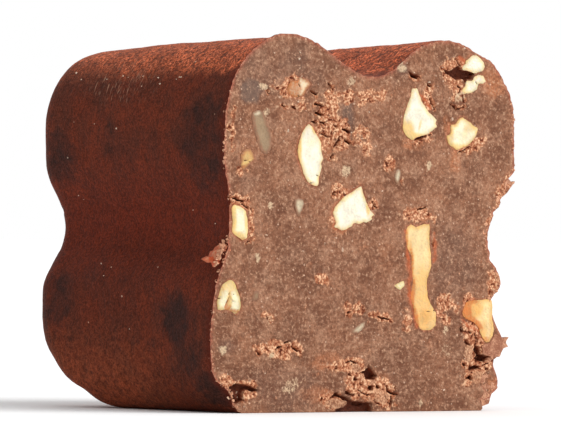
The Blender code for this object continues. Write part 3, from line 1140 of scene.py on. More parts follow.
@dataclass(frozen=True)
class Section:
    """Outline of the bar at the cut: two crests, a valley, waists and a flat base."""

    valley: Spread = (0.65, 24.9)
    left: Side = Side(6.6, 27.7, 13.2, 20.9, 19.1, 11.9, 13.7, 13.7, 9.0, 5.0, 10.6)
    right: Side = Side(6.95, 27.3, 14.1, 21.4, 17.7, 11.6, 13.0, 13.3, 8.6, 4.8, 11.2)
    fullness: float = 0.86
    steps: int = 160

    def half(self, side: Side, hand: int) -> Array:
        """One side of the section from the valley to the middle of the base.

        Args:
            side: Its sizes.
            hand: 1 for right and -1 for left.

        Returns:
            Points across and up.
        """
        corners = (
            (self.valley, Law.LEVEL_SWAY),
            ((hand * side.crest_x, side.crest_z), Law.SHOULDER),
            ((hand * side.upper_half, side.upper_top_z), Law.STRAIGHT),
            ((hand * side.upper_half, side.upper_low_z), Law.UPRIGHT_SWAY),
            ((hand * side.waist_half, side.waist_z), Law.UPRIGHT_SWAY),
            ((hand * side.lower_half, side.lower_top_z), Law.STRAIGHT),
            ((hand * side.lower_half, side.lower_low_z), Law.FOOT),
            ((hand * side.base_half, 0.0), Law.STRAIGHT),
            ((0.0, 0.0), Law.STRAIGHT),
        )
        run = np.linspace(0, 1, self.steps, endpoint=False)
        found = []
        for (start, law), (end, _) in zip(corners, corners[1:]):
            along, up = law.shares(run, self.fullness)
            stretch = np.column_stack([along, up])
            found.append(np.array(start) + stretch * (np.array(end) - start))
        return np.vstack(found)

    def outline(self, count: int) -> Array:
        """The whole section as count points across and up, clockwise seen from the cut."""
        left = self.half(self.left, -1)
        return even_outline(np.vstack([self.half(self.right, 1), [(0.0, 0.0)], left[:0:-1]]), count)


@dataclass(frozen=True)
class Skin:
    """Where the moulded skin runs behind the cut, and how worn it is there."""

    length: float = 24.2
    end_radius_top: float = 2.5
    end_radius_base: float = 8.6
    end_full_height: float = 9.0
    end_dome: float = 0.5
    end_fullness_top: float = 2.5
    end_fullness_base: float = 1.9
    end_groove: float = 0.6
    end_groove_half: float = 2.6
    end_groove_reach: float = 6.0
    width_taper: float = 0.015
    height_taper: float = 0.035
    core_z: float = 13.0
    swell: float = 0.13
    swell_span: float = 7.0
    base_fade: float = 1.2
    relief_fade: float = 5.0
    dents: float = 0.05
    dents_span: float = 1.7
    pores: float = 0.022
    pores_span: float = 0.45
    waist_z: float = 13.7
    blush_half: float = 4.6
    # Height from which the tops of the crests carry a painted highlight, and how soft its lower edge is,
    # softer further behind the cut.
    crest_from: float = 25.2
    crest_blur: float = 0.35
    crest_blur_gain: float = 0.07
    crest_blur_to: float = 14.0
    # How much the crest's painted highlight fades towards the far end, and between which depths.
    crest_loss: float = 0.15
    crest_fade: Spread = (12.0, 22.0)
    # Painted bounce light on the foot: how light it is near the cut and how much lighter far behind it,
    # where, and how high.
    foot_bounce_light: Spread = (0.05, 0.4)
    foot_depth: Spread = (4.0, 13.0)
    foot_height: Spread = (1.0, 7.5)
    rim_depth: float = 0.5
    rim_share: float = 0.8
    # How far from the middle the bruises start and are at full strength.
    bruised_from: Spread = (5.0, 11.0)
    # Height and setting back of the bruises on the right, which mirror those on the left.
    mirror: Spread = (27.0, 2.0)
    # Heights between which the far end's rounding grows fuller.
    fuller_between: Spread = (7.0, 20.0)
    # Heights, depths and half heights of the faint creases along the waist.
    creases: tuple[Place, ...] = ((15.35, 0.1, 0.3), (12.2, 0.07, 0.35))
    bulges: tuple[Bulge, ...] = each(
        Bulge,
        (-7.9, 27.7, 0.3, 2.2, 0.8), (6.6, 27.2, 0.5, 3.6, 5.0), (4.3, 26.2, 0.25, 1.2, 4.0),
        (10.2, 26.6, -0.2, 1.2, 7.0), (12.3, 24.4, -0.2, 1.2, 5.0), (5.4, 26.9, 0.3, 3.5, 7.0, 12.0),
        (-9.8, 25.4, 0.2, 3.0, 8.0, 22.0), (-12.5, 16.6, -0.3, 1.8, 9.0, 20.0),
        (-12.9, 10.5, -0.22, 1.4, 9.0, 20.0), (-13.7, 5.4, 0.3, 1.8, 9.0, 20.0),
        (-13.7, 5.2, 0.75, 4.2, 5.0), (-12.2, 13.7, 0.8, 2.4, 4.0), (-13.2, 1.2, -0.7, 1.1, 1.4),
        (-12.6, 0.8, -0.25, 0.9, 7.0, 18.0), (13.3, 7.7, -1.35, 1.2, 2.4), (13.3, 6.3, -0.8, 0.8, 2.0),
        (13.0, 3.1, -1.05, 1.0, 2.2), (12.3, 0.9, -0.4, 1.0, 1.8), (14.1, 17.45, -0.85, 0.35, 1.0),
        (13.5, 16.0, -0.6, 0.6, 1.2), (12.6, 14.9, -0.4, 0.4, 1.0), (12.1, 11.3, -0.3, 0.4, 1.0),
        (12.7, 8.9, -0.35, 0.35, 1.0), (12.6, 6.3, -0.35, 0.4, 1.0), (13.1, 4.2, -0.6, 0.4, 1.0),
        (12.6, 2.8, -0.8, 0.55, 1.2), (12.5, 1.9, 0.15, 0.25, 0.8), (12.2, 1.1, -0.5, 0.4, 1.0),
        (11.8, 0.2, -0.8, 0.35, 1.0),
    )
    ragged: float = 0.09
    ragged_span: float = 0.32
    ragged_depth: float = 0.55
    # Bruises on the skin by their depth behind the cut and their height, on the left.
    bruises: tuple[Spot, ...] = each(
        Spot,
        (21.2, 18.9, 2.6, 2.1, 0.7), (14.9, 20.4, 1.4, 2.0, 0.35), (2.5, 19.8, 3.1, 3.8, 0.72),
        (20.6, 8.0, 2.2, 2.3, 0.7), (5.0, 7.1, 2.2, 1.8, 0.85, 20.0), (0.8, 1.7, 1.4, 1.2, 0.8),
        (3.4, 5.6, 2.6, 2.6, 0.4), (2.2, 2.6, 2.4, 2.4, 0.5), (14.5, 24.3, 3.6, 1.3, 0.2),
        (9.0, 5.0, 1.6, 0.8, 0.35),
    )
    scratches: tuple[Spot, ...] = each(Spot, (14.0, 24.4, 4.2, 1.5, 1.0))

    def end_radius(self, heights: Array) -> Array:
        """Radius of the rounding between the side and the far end."""
        below = np.maximum(0.0, 1 - heights / self.end_full_height)
        return self.end_radius_top + (self.end_radius_base - self.end_radius_top) * below**2

    def groove(self, heights: Array) -> Array:
        """How far the far end lies in where the waist runs round it."""
        return self.end_groove * np.exp(-(((heights - self.waist_z) / self.end_groove_half) ** 2))

    def ring(self, outline: Array, depth: float, relief: Array) -> Array:
        """The skin's points at one depth behind the cut.

        Args:
            outline: The section's points at the cut.
            depth: The depth.
            relief: How far the cut face stands back at each of them.

        Returns:
            One point a row.
        """
        share = depth / self.length
        x = outline[:, 0] * (1 - self.width_taper * share**2)
        z = outline[:, 1] * (1 - self.height_taper * share**2)
        away = np.column_stack([x, z - self.core_z])
        away /= np.linalg.norm(away, axis=1)[:, None]
        places = np.column_stack([x, np.full(len(x), depth), z])
        rise = np.minimum(1.0, z / self.base_fade)
        swell = self.swell * grain(places, self.swell_span) * rise
        swell += self.dents * grain(places, self.dents_span, 5.0) * rise
        swell += self.pores * grain(places, self.pores_span, 9.0) * rise
        for height, sunk, half in self.creases:
            swell -= sunk * np.exp(-(((outline[:, 1] - height) / half) ** 2))
        for bulge in self.bulges:
            aside = np.linalg.norm(outline - (bulge.x, bulge.z), axis=1) / bulge.half_width
            swell += bulge.reach * np.exp(-(aside**2) - ((depth - bulge.behind) / bulge.depth) ** 2)
        fade = math.exp(-((depth / self.ragged_depth) ** 2))
        swell += self.ragged * grain(places, self.ragged_span, 3.0) * fade
        radius = self.end_radius(z)
        into = np.maximum(0.0, (depth - (self.length - radius)) / radius)
        gain = self.end_fullness_top - self.end_fullness_base
        fullness = self.end_fullness_base + gain * step(z, *self.fuller_between)
        inset = radius * (1 - np.maximum(0.0, 1 - into**fullness) ** (1 / fullness))
        lift = np.where(outline[:, 1] > 0, swell, 0.0)
        near_end = float(ease(np.array(1 - (self.length - depth) / self.end_groove_reach)))
        back = depth - self.groove(z) * near_end + relief * max(0.0, 1 - depth / self.relief_fade)
        up = np.maximum(0.0, z + away[:, 1] * (lift - inset))
        return np.column_stack([x + away[:, 0] * (swell - inset), back, up])

    def traits(self, points: Array, depth: float) -> Traits:
        """What the skin's finish reads at points of a ring.

        Args:
            points: The ring's points.
            depth: The ring's depth behind the cut.

        Returns:
            The traits.
        """
        x, y, z = points.T
        places = np.column_stack([y, z])
        mirrored = np.column_stack([self.length - y + self.mirror[1], self.mirror[0] - z])
        where = np.where((x < 0)[:, None], places, mirrored)
        aside = step(np.abs(x) + 0.8 * grain(points, 1.5, 16.0), *self.bruised_from)
        blur = self.crest_blur + self.crest_blur_gain * min(depth, self.crest_blur_to)
        # The tops of the crests carry a painted highlight.
        crest = step(z + 0.5 * grain(points, 1.1, 6.0), self.crest_from - blur, self.crest_from + blur)
        # Painted bounce light on the foot, lighter further behind the cut.
        light, gain = self.foot_bounce_light
        foot = light + gain * float(step(np.array(depth), *self.foot_depth))
        fade = self.crest_loss * float(step(np.array(depth), *self.crest_fade))
        rim = np.full(len(points), math.exp(-((depth / self.rim_depth) ** 2)) * self.rim_share)
        return {
            Trait.BRUISE: gathered(self.bruises, where) * aside,
            Trait.SCRATCH: gathered(self.scratches, where),
            Trait.WARM: np.exp(-(((z - self.waist_z) / self.blush_half) ** 2)),
            Trait.CREST: crest * (1 - fade),
            Trait.LIGHT: foot * step(-z, -self.foot_height[1], -self.foot_height[0]),
            Trait.RIM: rim * (1 - 0.6 * crest),
        }


# ---- Nuts ----


@dataclass(frozen=True)
class Halo:
    """Oily orange edge that a nut has left in the ganache, wider on the side that it leans to."""

    width: float = 0.3
    strength: float = 0.6
    lean_x: float = 0.0
    lean_z: float = 0.0


@dataclass(frozen=True)
class NutLook:
    """How one of the model's nuts looks: its flesh, its halo, and marks by their place on the cut."""

    tone: NutTone
    halo: Halo = Halo()
    gold: tuple[Spot, ...] = ()
    brown: tuple[Spot, ...] = ()
    cracks: tuple[Slit, ...] = ()
    outline: tuple[Spread, ...] = ()


@dataclass
class Nut:
    """A piece of nut in its pocket, drawn from the outline of the model's nut."""

    name: str
    look: NutLook
    corners: Array
    depth: float
    profile: tuple[Spread, ...] = ((0.5, 0.97), (0.85, 0.8), (1.0, 0.5))
    front: float = -0.045
    edge_drop: float = 0.05
    edge_width: float = 0.08
    spacing: float = 0.09
    wobble: float = 0.03
    wobble_span: float = 0.55
    notch: float = 0.035
    notch_span: float = 0.2
    gap: float = 0.012
    fewest_points: int = 24
    corner_cut: float = 0.12
    dip: float = 0.03
    swell: float = 0.06
    swell_span: float = 1.0
    grit: float = 0.014
    grit_span: float = 0.25
    rind: float = 0.6

    def __post_init__(self) -> None:
        """Works out the nut's own outline."""
        count = max(self.fewest_points, int(perimeter(self.corners) / self.spacing))
        outline = even_outline(softened(self.corners, self.corner_cut), count)
        sway = self.wobble * grain(outline, self.wobble_span, 7.0)
        sway += self.notch * grain(outline, self.notch_span, 13.0)
        across = grown(outline, 1.0) - outline
        self.outline = outline + across * (sway - 0.5 * self.wobble)[:, None]
        self.middle = self.outline.mean(axis=0)

    def level(self, outline: Array, share: float) -> Array:
        """The outline drawn in towards the nut's middle."""
        return self.middle + (outline - self.middle) * share

    def pocket(self) -> Iterator[tuple[Array, float]]:
        """The pocket's rings below its mouth, each with its depth.

        Returns:
            Pairs of a ring's points and its depth.
        """
        mouth = grown(self.outline, self.gap)
        for share_down, share in ((0.03, 0.985), *self.profile):
            yield self.level(mouth, share), share_down * self.depth + self.gap

    def shape(self) -> Shape:
        """The nut's closed mesh.

        Returns:
            The mesh, ready to be made into an object.
        """
        shape = Shape()
        lattice = hexagonal(self.outline, self.spacing, 0.55)
        flat = np.vstack([self.outline, lattice])
        shape.add_points(self.fronted(flat), self.traits(flat))
        shape.add_faces(filled(self.outline, lattice))
        rings = [(self.outline, self.edge_drop)]
        rings += [(self.level(self.outline, share), down * self.depth) for down, share in self.profile]
        last = shape.add_rings(0, [(stood(ring, depth), self.traits(ring)) for ring, depth in rings])
        tip = shape.add_points(stood(self.middle[None], self.depth), {Trait.EDGE: 1.0})
        shape.fan(last, tip, len(self.outline))
        return shape

    def fronted(self, flat: Array) -> Array:
        """Points of the front face, which dips a little and is cracked.

        Args:
            flat: Places on the face, one a row.

        Returns:
            One point a place.
        """
        depth = self.front + self.dip + self.swell * grain(flat, self.swell_span, 2.0)
        depth += self.grit * grain(flat, self.grit_span, 4.0)
        apart = distance_to(self.outline, flat, 0.4)
        depth += 0.6 * self.edge_drop * np.exp(-((apart / self.edge_width) ** 2))
        for crack in self.look.cracks:
            depth += crack.depth * crack.share(flat)
        return stood(flat, depth)

    def traits(self, flat: Array) -> Traits:
        """What the nut's finish reads at places on its front.

        Args:
            flat: Places on the face, one a row.

        Returns:
            The traits.
        """
        return {
            Trait.EDGE: 1 - distance_to(self.outline, flat, self.rind) / self.rind,
            Trait.GOLD: gathered(self.look.gold, flat),
            Trait.BROWN: gathered(self.look.brown, flat),
            # Painted shade in the nut's cracks.
            Trait.DEEP: gathered(self.look.cracks, flat),
        }

    def halo(self, places: Array) -> Array:
        """Strength of the nut's halo at places on the cut face.

        Args:
            places: One place a row.

        Returns:
            One strength a place.
        """
        halo = self.look.halo
        reach = 3.2 * halo.width * (1 + math.hypot(halo.lean_x, halo.lean_z))
        apart = distance_to(self.outline, places, reach)
        way = places - self.middle
        way /= np.linalg.norm(way, axis=1)[:, None] + 1e-6
        leaning = np.maximum(0.15, 1 + way @ (halo.lean_x, halo.lean_z))
        strength = halo.strength * np.exp(-((apart / (halo.width * leaning)) ** 2))
        return np.where(apart < reach, strength, 0.0)


def hexagonal(outline: Array, spacing: float, clear: float) -> Array:
    """Places inside an outline on a staggered grid.

    Args:
        outline: The outline's points.
        spacing: Distance between neighbours.
        clear: How far they stay from the outline, in spacings.

    Returns:
        One place a row.
    """
    low, high = outline.min(axis=0), outline.max(axis=0)
    rows = np.arange(low[1], high[1], spacing * math.sqrt(3) / 2)
    columns = np.arange(low[0] - spacing, high[0] + spacing, spacing)
    across, up = np.meshgrid(columns, rows)
    across = across + (np.arange(len(rows)) % 2)[:, None] * spacing / 2
    places = np.column_stack([across.ravel(), up.ravel()])
    places = places[inside(outline, places)]
    return places[distance_to(outline, places, 1.0) > clear * spacing]


def filled(rim: Array, lattice: Array, rings: Sequence[Array] = ()) -> list[tuple[int, ...]]:
    """Triangles that fill an outline.

    Args:
        rim: The outline.
        lattice: Places inside it.
        rings: Closed lines inside it that the triangles keep to.

    Returns:
        Triangles of point numbers, where the rim comes first, then the lattice, then the rings.
    """
    edges, start = [], 0
    for line, closed in ((rim, True), (lattice, False), *((ring, True) for ring in rings)):
        count = len(line)
        if closed:
            edges += [(start + side, start + (side + 1) % count) for side in range(count)]
        start += count
    places = np.vstack([rim, lattice, *rings])
    corners = [Vector(place) for place in places.tolist()]
    _, _, triangles, source, _, _ = delaunay_2d_cdt(corners, edges, [], 1, 1e-7)
    return [tuple(source[corner][0] for corner in triangle) for triangle in triangles]


# ---- Cut face ----


@dataclass(frozen=True)
class CutFace:
    """Relief and colouring of the cut face."""

    roll: float = 0.07
    roll_span: float = 4.5
    crumb_size: float = 0.3
    grit_size: float = 0.15
    crumb_rise: float = 0.026
    grit_rise: float = 0.034
    crack_size: float = 0.62
    crack_width: float = 0.035
    crack_depth: float = 0.07
    ragged: float = 0.55
    stray: float = 0.02
    slit_lip: float = 0.16
    edge_blur: float = 0.05
    sway_span: float = 0.8
    fine_sway_span: float = 0.25
    # How far wide and fine swells move soft patches about, and how far they move sharp ones.
    bend: Spread = (0.28, 0.09)
    thin_bend: Spread = (0.03, 0.06)
    set_back: float = 0.03
    ripple: float = 0.025
    ripple_span: float = 0.7
    # Strengths between which ganache turns from cut to torn, in a zone and along a crack.
    torn_edge: Spread = (0.25, 0.85)
    lip_edge: Spread = (0.3, 0.7)
    lip_ragged: float = 0.6
    # Strengths of a slit between which it turns to painted shade.
    slit_shade_edge: Spread = (0.2, 0.9)
    tinge: float = 0.45
    crack_gaps: Spread = (-0.1, 0.15)
    fallen_edge: Spread = (0.46, 0.6)
    # How strongly cracks and fallen hollows in torn ganache are painted in shade.
    crack_shade_strength: float = 0.7
    fallen_shade_strength: float = 0.6
    # How light torn ganache is, partly its own paler colour and partly a painted highlight where crumbs and
    # grit stand out.
    torn_light: float = 0.42
    crumb_light: float = 0.55
    block_smooth: float = 0.9
    block_crumb: float = 0.45
    block_light: float = 0.75
    # How much wide and fine swells deepen a pit, and how strongly it is painted in shade for its depth.
    pit_sway: Spread = (0.25, 0.12)
    pit_shade: Spread = (0.65, 0.4)
    stained: float = 0.8
    zones: tuple[Spot, ...] = each(
        Spot,
        (-3.71, 21.48, 1.0, 2.2, 1.0, -8.0), (-2.3, 20.7, 0.8, 1.4, 0.9), (-1.11, 23.38, 3.0, 0.55, 0.75),
        (-0.4, 20.3, 1.0, 1.2, 0.85, 20.0), (1.2, 23.5, 1.2, 0.5, 0.8), (-7.11, 24.08, 1.7, 0.8, 0.8),
        (-2.61, 16.28, 0.8, 0.6), (0.59, 15.44, 0.5, 0.5), (-2.71, 14.24, 0.7, 0.4, 0.6),
        (4.89, 14.64, 1.7, 0.5), (-1.01, 7.64, 1.2, 0.5, 0.9), (1.29, 7.04, 1.3, 0.35, 0.8, -12.0),
        (-8.08, 4.75, 2.2, 0.7), (-0.48, 2.25, 1.3, 1.5, 1.1), (1.82, 1.25, 1.2, 1.1, 1.1),
        (-2.98, 0.85, 1.1, 0.6, 1.0), (-2.28, 3.45, 1.9, 0.5, 0.8, 12.0), (10.6, 4.05, 0.9, 1.7, 1.2),
        (10.1, 6.05, 0.8, 0.8, 1.0), (11.2, 3.35, 0.8, 0.4, 1.0), (9.8, 2.25, 0.4, 0.5, 0.8),
        (7.6, 7.5, 1.3, 1.2, 0.65), (8.29, 25.48, 1.3, 1.0, 1.0), (8.59, 24.08, 0.7, 0.8, 0.9),
        (-11.2, 1.65, 1.1, 0.9), (-12.9, 2.25, 0.8, 0.5, 0.9), (-11.66, 15.44, 0.8, 0.6),
        (-5.91, 22.88, 1.6, 0.7, 0.6), (13.3, 16.18, 0.8, 1.3), (12.0, 13.74, 0.5, 1.0, 0.7),
        (12.2, 9.44, 0.7, 1.3), (-12.55, 20.58, 0.4, 2.2, 0.7), (-4.11, 9.74, 0.7, 0.4),
        (-9.21, 6.94, 0.8, 0.5, 0.6), (5.09, 20.28, 1.2, 0.35, 0.8), (5.79, 23.38, 0.5, 1.1, 0.9, -25.0),
        (10.29, 19.88, 1.2, 0.4, 0.9, 35.0), (2.19, 18.48, 0.6, 0.7, 0.9), (-11.31, 17.58, 0.8, 0.5, 0.5),
        (3.89, 6.84, 0.4, 0.9, 0.6), (9.9, 8.04, 0.7, 0.7), (-10.71, 13.74, 0.4, 1.5, 0.8),
    )
    pits: tuple[Patch, ...] = each(
        Patch,
        (0.5, ((7.22, 25.65), (7.46, 25.5), (7.88, 25.44), (8.13, 25.59), (8.52, 25.78), (8.81, 25.9),
            (8.92, 25.64), (9.19, 25.54), (9.48, 25.62), (9.81, 25.5), (10.12, 25.37), (10.29, 25.3),
            (10.06, 25.21), (9.92, 24.92), (9.67, 24.85), (9.52, 24.94), (9.42, 24.74), (9.27, 24.68),
            (9.13, 24.9), (8.81, 24.88), (8.52, 24.82), (8.25, 24.96), (8.0, 25.11), (7.85, 25.17),
            (7.56, 25.28))),
        (0.35, ((3.96, 25.42), (4.42, 25.22), (4.97, 25.05), (4.72, 24.85), (4.23, 25.04))),
        (0.55, ((0.35, 3.49), (0.65, 3.18), (0.96, 2.88), (1.2, 2.69), (0.93, 2.42), (0.37, 2.4),
            (0.13, 2.45), (0.02, 2.73), (-0.14, 2.93), (0.04, 3.05), (0.33, 3.21))),
        (0.35, ((-1.05, 2.41), (-0.88, 2.62), (-0.72, 2.47), (-0.52, 2.39), (-0.86, 2.29))),
        (0.3, ((-1.41, 2.95), (-1.16, 2.68), (-1.41, 2.7))),
        (0.5, ((0.37, 1.99), (0.55, 1.88), (0.84, 1.91), (0.82, 1.69), (0.7, 1.55), (0.52, 1.65),
            (0.48, 1.84))),
        (0.4, ((1.12, 2.1), (1.5, 1.76), (1.37, 1.67), (1.16, 1.73))),
        (0.4, ((1.88, 2.17), (2.11, 1.9), (2.31, 1.68), (2.16, 1.53), (2.54, 1.47), (3.15, 1.24),
            (2.54, 1.26), (2.14, 1.44), (2.05, 1.79))),
        (0.4, ((2.47, 1.15), (2.66, 1.0), (2.66, 0.66), (2.52, 0.44), (2.39, 0.6), (2.52, 0.86))),
        (0.35, ((-1.76, 1.59), (-1.42, 1.45), (-1.24, 1.35), (-0.77, 1.31), (-1.14, 1.23), (-1.57, 1.27),
            (-1.8, 1.39))),
        (0.5, ((-3.15, 1.06), (-2.79, 1.4), (-2.57, 1.46), (-2.27, 1.23), (-1.8, 1.13), (-1.42, 1.04),
            (-1.24, 0.84), (-1.65, 0.83), (-2.08, 0.94), (-2.23, 1.05), (-2.64, 1.19), (-2.93, 1.06))),
        (0.55, ((-1.61, 0.81), (-1.33, 0.92), (-0.77, 0.76), (-0.2, 0.73), (0.37, 0.69), (0.71, 0.61),
            (0.69, -0.47), (-2.64, -0.44), (-2.64, 0.16), (-1.99, 0.28), (-1.63, 0.49))),
        (0.55, ((10.52, 4.88), (10.85, 4.84), (11.02, 4.55), (11.14, 4.25), (11.53, 4.14), (11.91, 4.0),
            (11.72, 3.83), (11.53, 3.65), (11.04, 3.77), (10.62, 3.59), (10.48, 3.95), (10.71, 4.22),
            (10.39, 4.55))),
        (0.45, ((10.0, 3.47), (10.15, 3.29), (10.46, 3.39), (11.0, 3.32), (11.06, 3.14), (10.56, 3.15),
            (10.17, 3.02), (9.94, 3.08))),
        (0.45, ((9.65, 2.39), (10.04, 2.69), (10.27, 2.58), (10.27, 2.25), (9.96, 2.36))),
        (0.25, ((9.54, 5.38), (9.88, 5.17), (10.12, 4.93), (9.79, 4.95), (9.5, 5.16))),
        (0.4, ((9.09, 6.33), (9.34, 6.0), (9.19, 5.89), (9.06, 6.12))),
        (0.3, ((11.49, 3.31), (11.8, 3.15), (11.62, 2.98))),
        (0.5, ((-12.58, 1.93), (-11.84, 2.14), (-11.2, 2.09), (-10.37, 1.87), (-9.91, 1.62),
            (-10.55, 1.58), (-11.11, 1.73), (-11.38, 1.41), (-11.24, 0.96), (-11.84, 0.68), (-12.39, 0.9),
            (-12.7, 1.49))),
    )
    blocks: tuple[Patch, ...] = each(
        Patch,
        (-0.08, ((-3.77, 0.79), (-3.3, 0.93), (-2.74, 1.06), (-2.27, 0.89), (-1.71, 0.84), (-1.54, 0.67),
            (-1.71, 0.5), (-2.18, 0.39), (-2.64, 0.22), (-3.11, 0.31), (-3.67, 0.53))),
        (-0.05, ((0.93, 1.72), (1.5, 1.64), (1.97, 1.5), (2.29, 1.23), (2.26, 0.78), (1.88, 0.52),
            (1.12, 0.75), (0.89, 1.24))),
        (-0.04, ((-1.33, 3.44), (-0.95, 3.56), (-0.58, 3.52), (-0.29, 3.26), (-0.48, 3.0), (-0.9, 2.89),
            (-1.18, 3.04))),
        (-0.05, ((-0.31, 2.99), (-0.07, 2.85), (0.12, 2.41), (-0.26, 2.29), (-0.5, 2.66))),
        (-0.05, ((10.29, 2.94), (10.75, 3.02), (11.2, 2.92), (11.2, 2.44), (10.95, 1.99), (10.35, 2.04))),
        (-0.03, ((9.56, 4.78), (10.08, 5.08), (10.4, 4.7), (10.27, 4.4), (10.37, 3.88), (9.69, 3.65),
            (9.4, 4.18))),
        (0.5, ((-0.63, 0.73), (-0.14, 0.76), (0.23, 0.58), (-0.11, 0.39), (-0.67, 0.48))),
    )
    slits: tuple[Slit, ...] = each(
        Slit,
        (-3.51, 24.38, -3.21, 23.88, 0.13, 0.5), (-5.31, 23.78, -4.71, 23.48, 0.17, 0.5),
        (-4.91, 22.78, -4.11, 22.68, 0.17, 0.5), (-4.81, 22.18, -4.11, 21.98, 0.21, 0.6),
        (-4.41, 21.48, -3.81, 21.38, 0.17, 0.4), (-3.01, 21.28, -2.81, 21.08, 0.21, 0.5),
        (-4.31, 20.58, -3.51, 20.38, 0.11, 0.5), (-2.51, 20.38, -2.71, 19.98, 0.21, 0.5),
        (-2.71, 19.98, -3.01, 19.68, 0.25, 0.5), (-3.11, 19.08, -3.41, 18.68, 0.17, 0.6),
        (-2.21, 20.98, -1.51, 20.78, 0.25, 0.5), (-2.01, 20.18, -1.51, 19.88, 0.25, 0.5),
        (-7.91, 22.68, -7.61, 22.58, 0.13, 0.3), (-6.91, 22.58, -6.71, 22.38, 0.17, 0.3),
        (-5.11, 21.48, -4.81, 21.38, 0.17, 0.4), (-9.31, 23.78, -9.21, 23.48, 0.17, 0.3),
        (4.19, 25.08, 4.89, 24.88, 0.21, 0.6), (5.79, 24.48, 6.09, 24.28, 0.21, 0.5),
        (7.99, 22.98, 8.49, 22.58, 0.11, 0.5), (8.59, 22.58, 9.19, 22.78, 0.11, 0.4),
        (5.99, 23.38, 6.29, 22.88, 0.17, 0.5), (6.29, 22.78, 6.49, 22.58, 0.17, 0.4),
        (4.59, 20.28, 5.29, 20.48, 0.17, 0.5), (5.39, 20.48, 6.09, 20.68, 0.08, 0.4),
        (8.79, 19.38, 9.99, 19.88, 0.08, 0.4), (-3.11, 16.04, -2.91, 16.28, 0.25, 0.6),
        (0.59, 15.64, 0.99, 15.14, 0.17, 0.6), (-12.36, 15.74, -11.46, 15.54, 0.14, 0.5),
        (-11.56, 15.34, -10.91, 15.04, 0.11, 0.5), (-11.11, 12.44, -10.81, 12.64, 0.13, 0.4),
        (-1.71, 7.34, -1.41, 7.44, 0.13, 0.4), (1.19, 7.04, 2.29, 6.84, 0.13, 0.4),
        (4.89, 15.04, 5.69, 15.24, 0.14, 0.5), (6.29, 12.64, 6.39, 12.34, 0.17, 0.5),
        (9.7, 8.24, 9.6, 7.84, 0.17, 0.5), (-10.0, 4.45, -9.8, 4.25, 0.17, 0.5),
        (-7.58, 5.15, -7.08, 5.25, 0.14, 0.5), (-6.78, 4.85, -6.28, 4.55, 0.25, 0.6),
        (-8.28, 4.75, -7.88, 4.85, 0.14, 0.4), (-0.43, 2.81, -0.11, 3.0, 0.14, 0.3),
        (-1.74, 3.65, -1.33, 3.77, 0.13, 0.25), (-1.33, 3.77, -0.62, 3.6, 0.16, 0.3),
        (-1.33, 3.48, -1.09, 3.62, 0.1, 0.2), (-2.85, 3.18, -2.51, 3.27, 0.13, 0.25),
        (-3.99, 1.1, -4.03, 0.83, 0.13, 0.3), (2.94, 1.88, 2.83, 1.67, 0.14, 0.25),
        (-0.58, 1.62, 0.18, 1.25, 0.12, 0.2), (0.27, 1.22, 0.65, 1.29, 0.14, 0.3),
        (2.16, 0.93, 2.29, 0.56, 0.1, 0.2), (0.93, 0.79, 1.5, 0.49, 0.12, 0.2),
        (8.25, 26.42, 8.48, 26.38, 0.1, 0.25), (8.48, 26.38, 8.61, 26.14, 0.12, 0.25),
        (8.61, 26.14, 8.85, 25.91, 0.15, 0.3), (8.58, 24.4, 8.9, 24.18, 0.15, 0.35),
        (8.9, 24.18, 8.71, 23.83, 0.13, 0.3), (9.1, 23.73, 9.23, 23.13, 0.08, 0.15),
        (11.91, 3.94, 12.4, 4.02, 0.14, 0.3), (11.24, 3.42, 12.01, 3.57, 0.12, 0.2),
        (10.46, 5.76, 10.75, 5.3, 0.14, 0.3), (10.75, 5.3, 10.56, 4.93, 0.16, 0.35),
        (9.88, 5.98, 10.17, 5.79, 0.13, 0.25), (9.4, 3.51, 9.65, 3.35, 0.13, 0.3),
    )
    warm: tuple[Spot, ...] = each(
        Spot,
        (12.1, 24.8, 1.4, 1.3, 0.8), (8.49, 18.68, 0.6, 1.0, 0.9), (4.19, 19.88, 1.1, 0.4, 0.9),
        (-3.68, 3.85, 1.5, 0.6, 0.7, 15.0), (1.12, 2.05, 1.4, 1.0, 0.5), (-3.81, 19.78, 0.6, 0.9, 0.9),
        (-2.51, 13.84, 1.2, 0.7, 0.7), (7.69, 21.48, 0.5, 0.7, 0.8), (12.5, 24.28, 1.0, 0.5, 0.5),
        (-4.58, 1.35, 1.7, 0.7, 0.6), (12.3, 1.95, 0.7, 0.9, 0.8), (1.99, 11.64, 1.1, 1.4, 0.4),
        (-7.21, 23.88, 0.8, 0.6, 0.6), (8.49, 24.28, 0.6, 0.5, 0.8), (-4.51, 20.68, 0.35, 0.9, 1.0, 25.0),
        (10.8, 2.65, 0.9, 0.6, 0.4), (5.59, 23.18, 0.5, 1.3, 0.8, -25.0), (-11.96, 8.04, 0.8, 2.5, 0.3),
        (-11.2, 5.65, 0.6, 1.2, 0.3), (6.02, 4.95, 0.5, 0.8, 0.4),
    )
    pale: tuple[Spot, ...] = each(
        Spot,
        (-6.98, 1.95, 0.9, 0.45, 0.5, 30.0), (8.79, 23.58, 0.5, 0.4, 0.7), (-1.91, 17.88, 0.4, 0.4, 0.8),
        (3.29, 25.48, 0.4, 0.35, 0.9), (5.9, 18.4, 0.25, 0.3, 1.0), (-1.51, 24.58, 0.25, 0.3, 0.8),
        (-9.61, 24.08, 0.4, 0.25, 0.9), (-9.01, 15.34, 0.2, 0.3, 0.8), (-10.01, 11.44, 0.2, 0.4, 0.9),
        (-8.68, 4.25, 0.3, 0.3, 1.0), (-13.1, 4.7, 0.4, 0.35, 0.9), (7.72, 4.65, 0.5, 0.6, 0.35),
        (7.62, 6.05, 0.2, 0.3, 0.7), (5.22, 0.65, 0.15, 0.35, 0.8), (-9.01, 6.84, 0.3, 0.3, 0.5),
        (-9.41, 22.18, 0.3, 0.3, 0.7),
    )
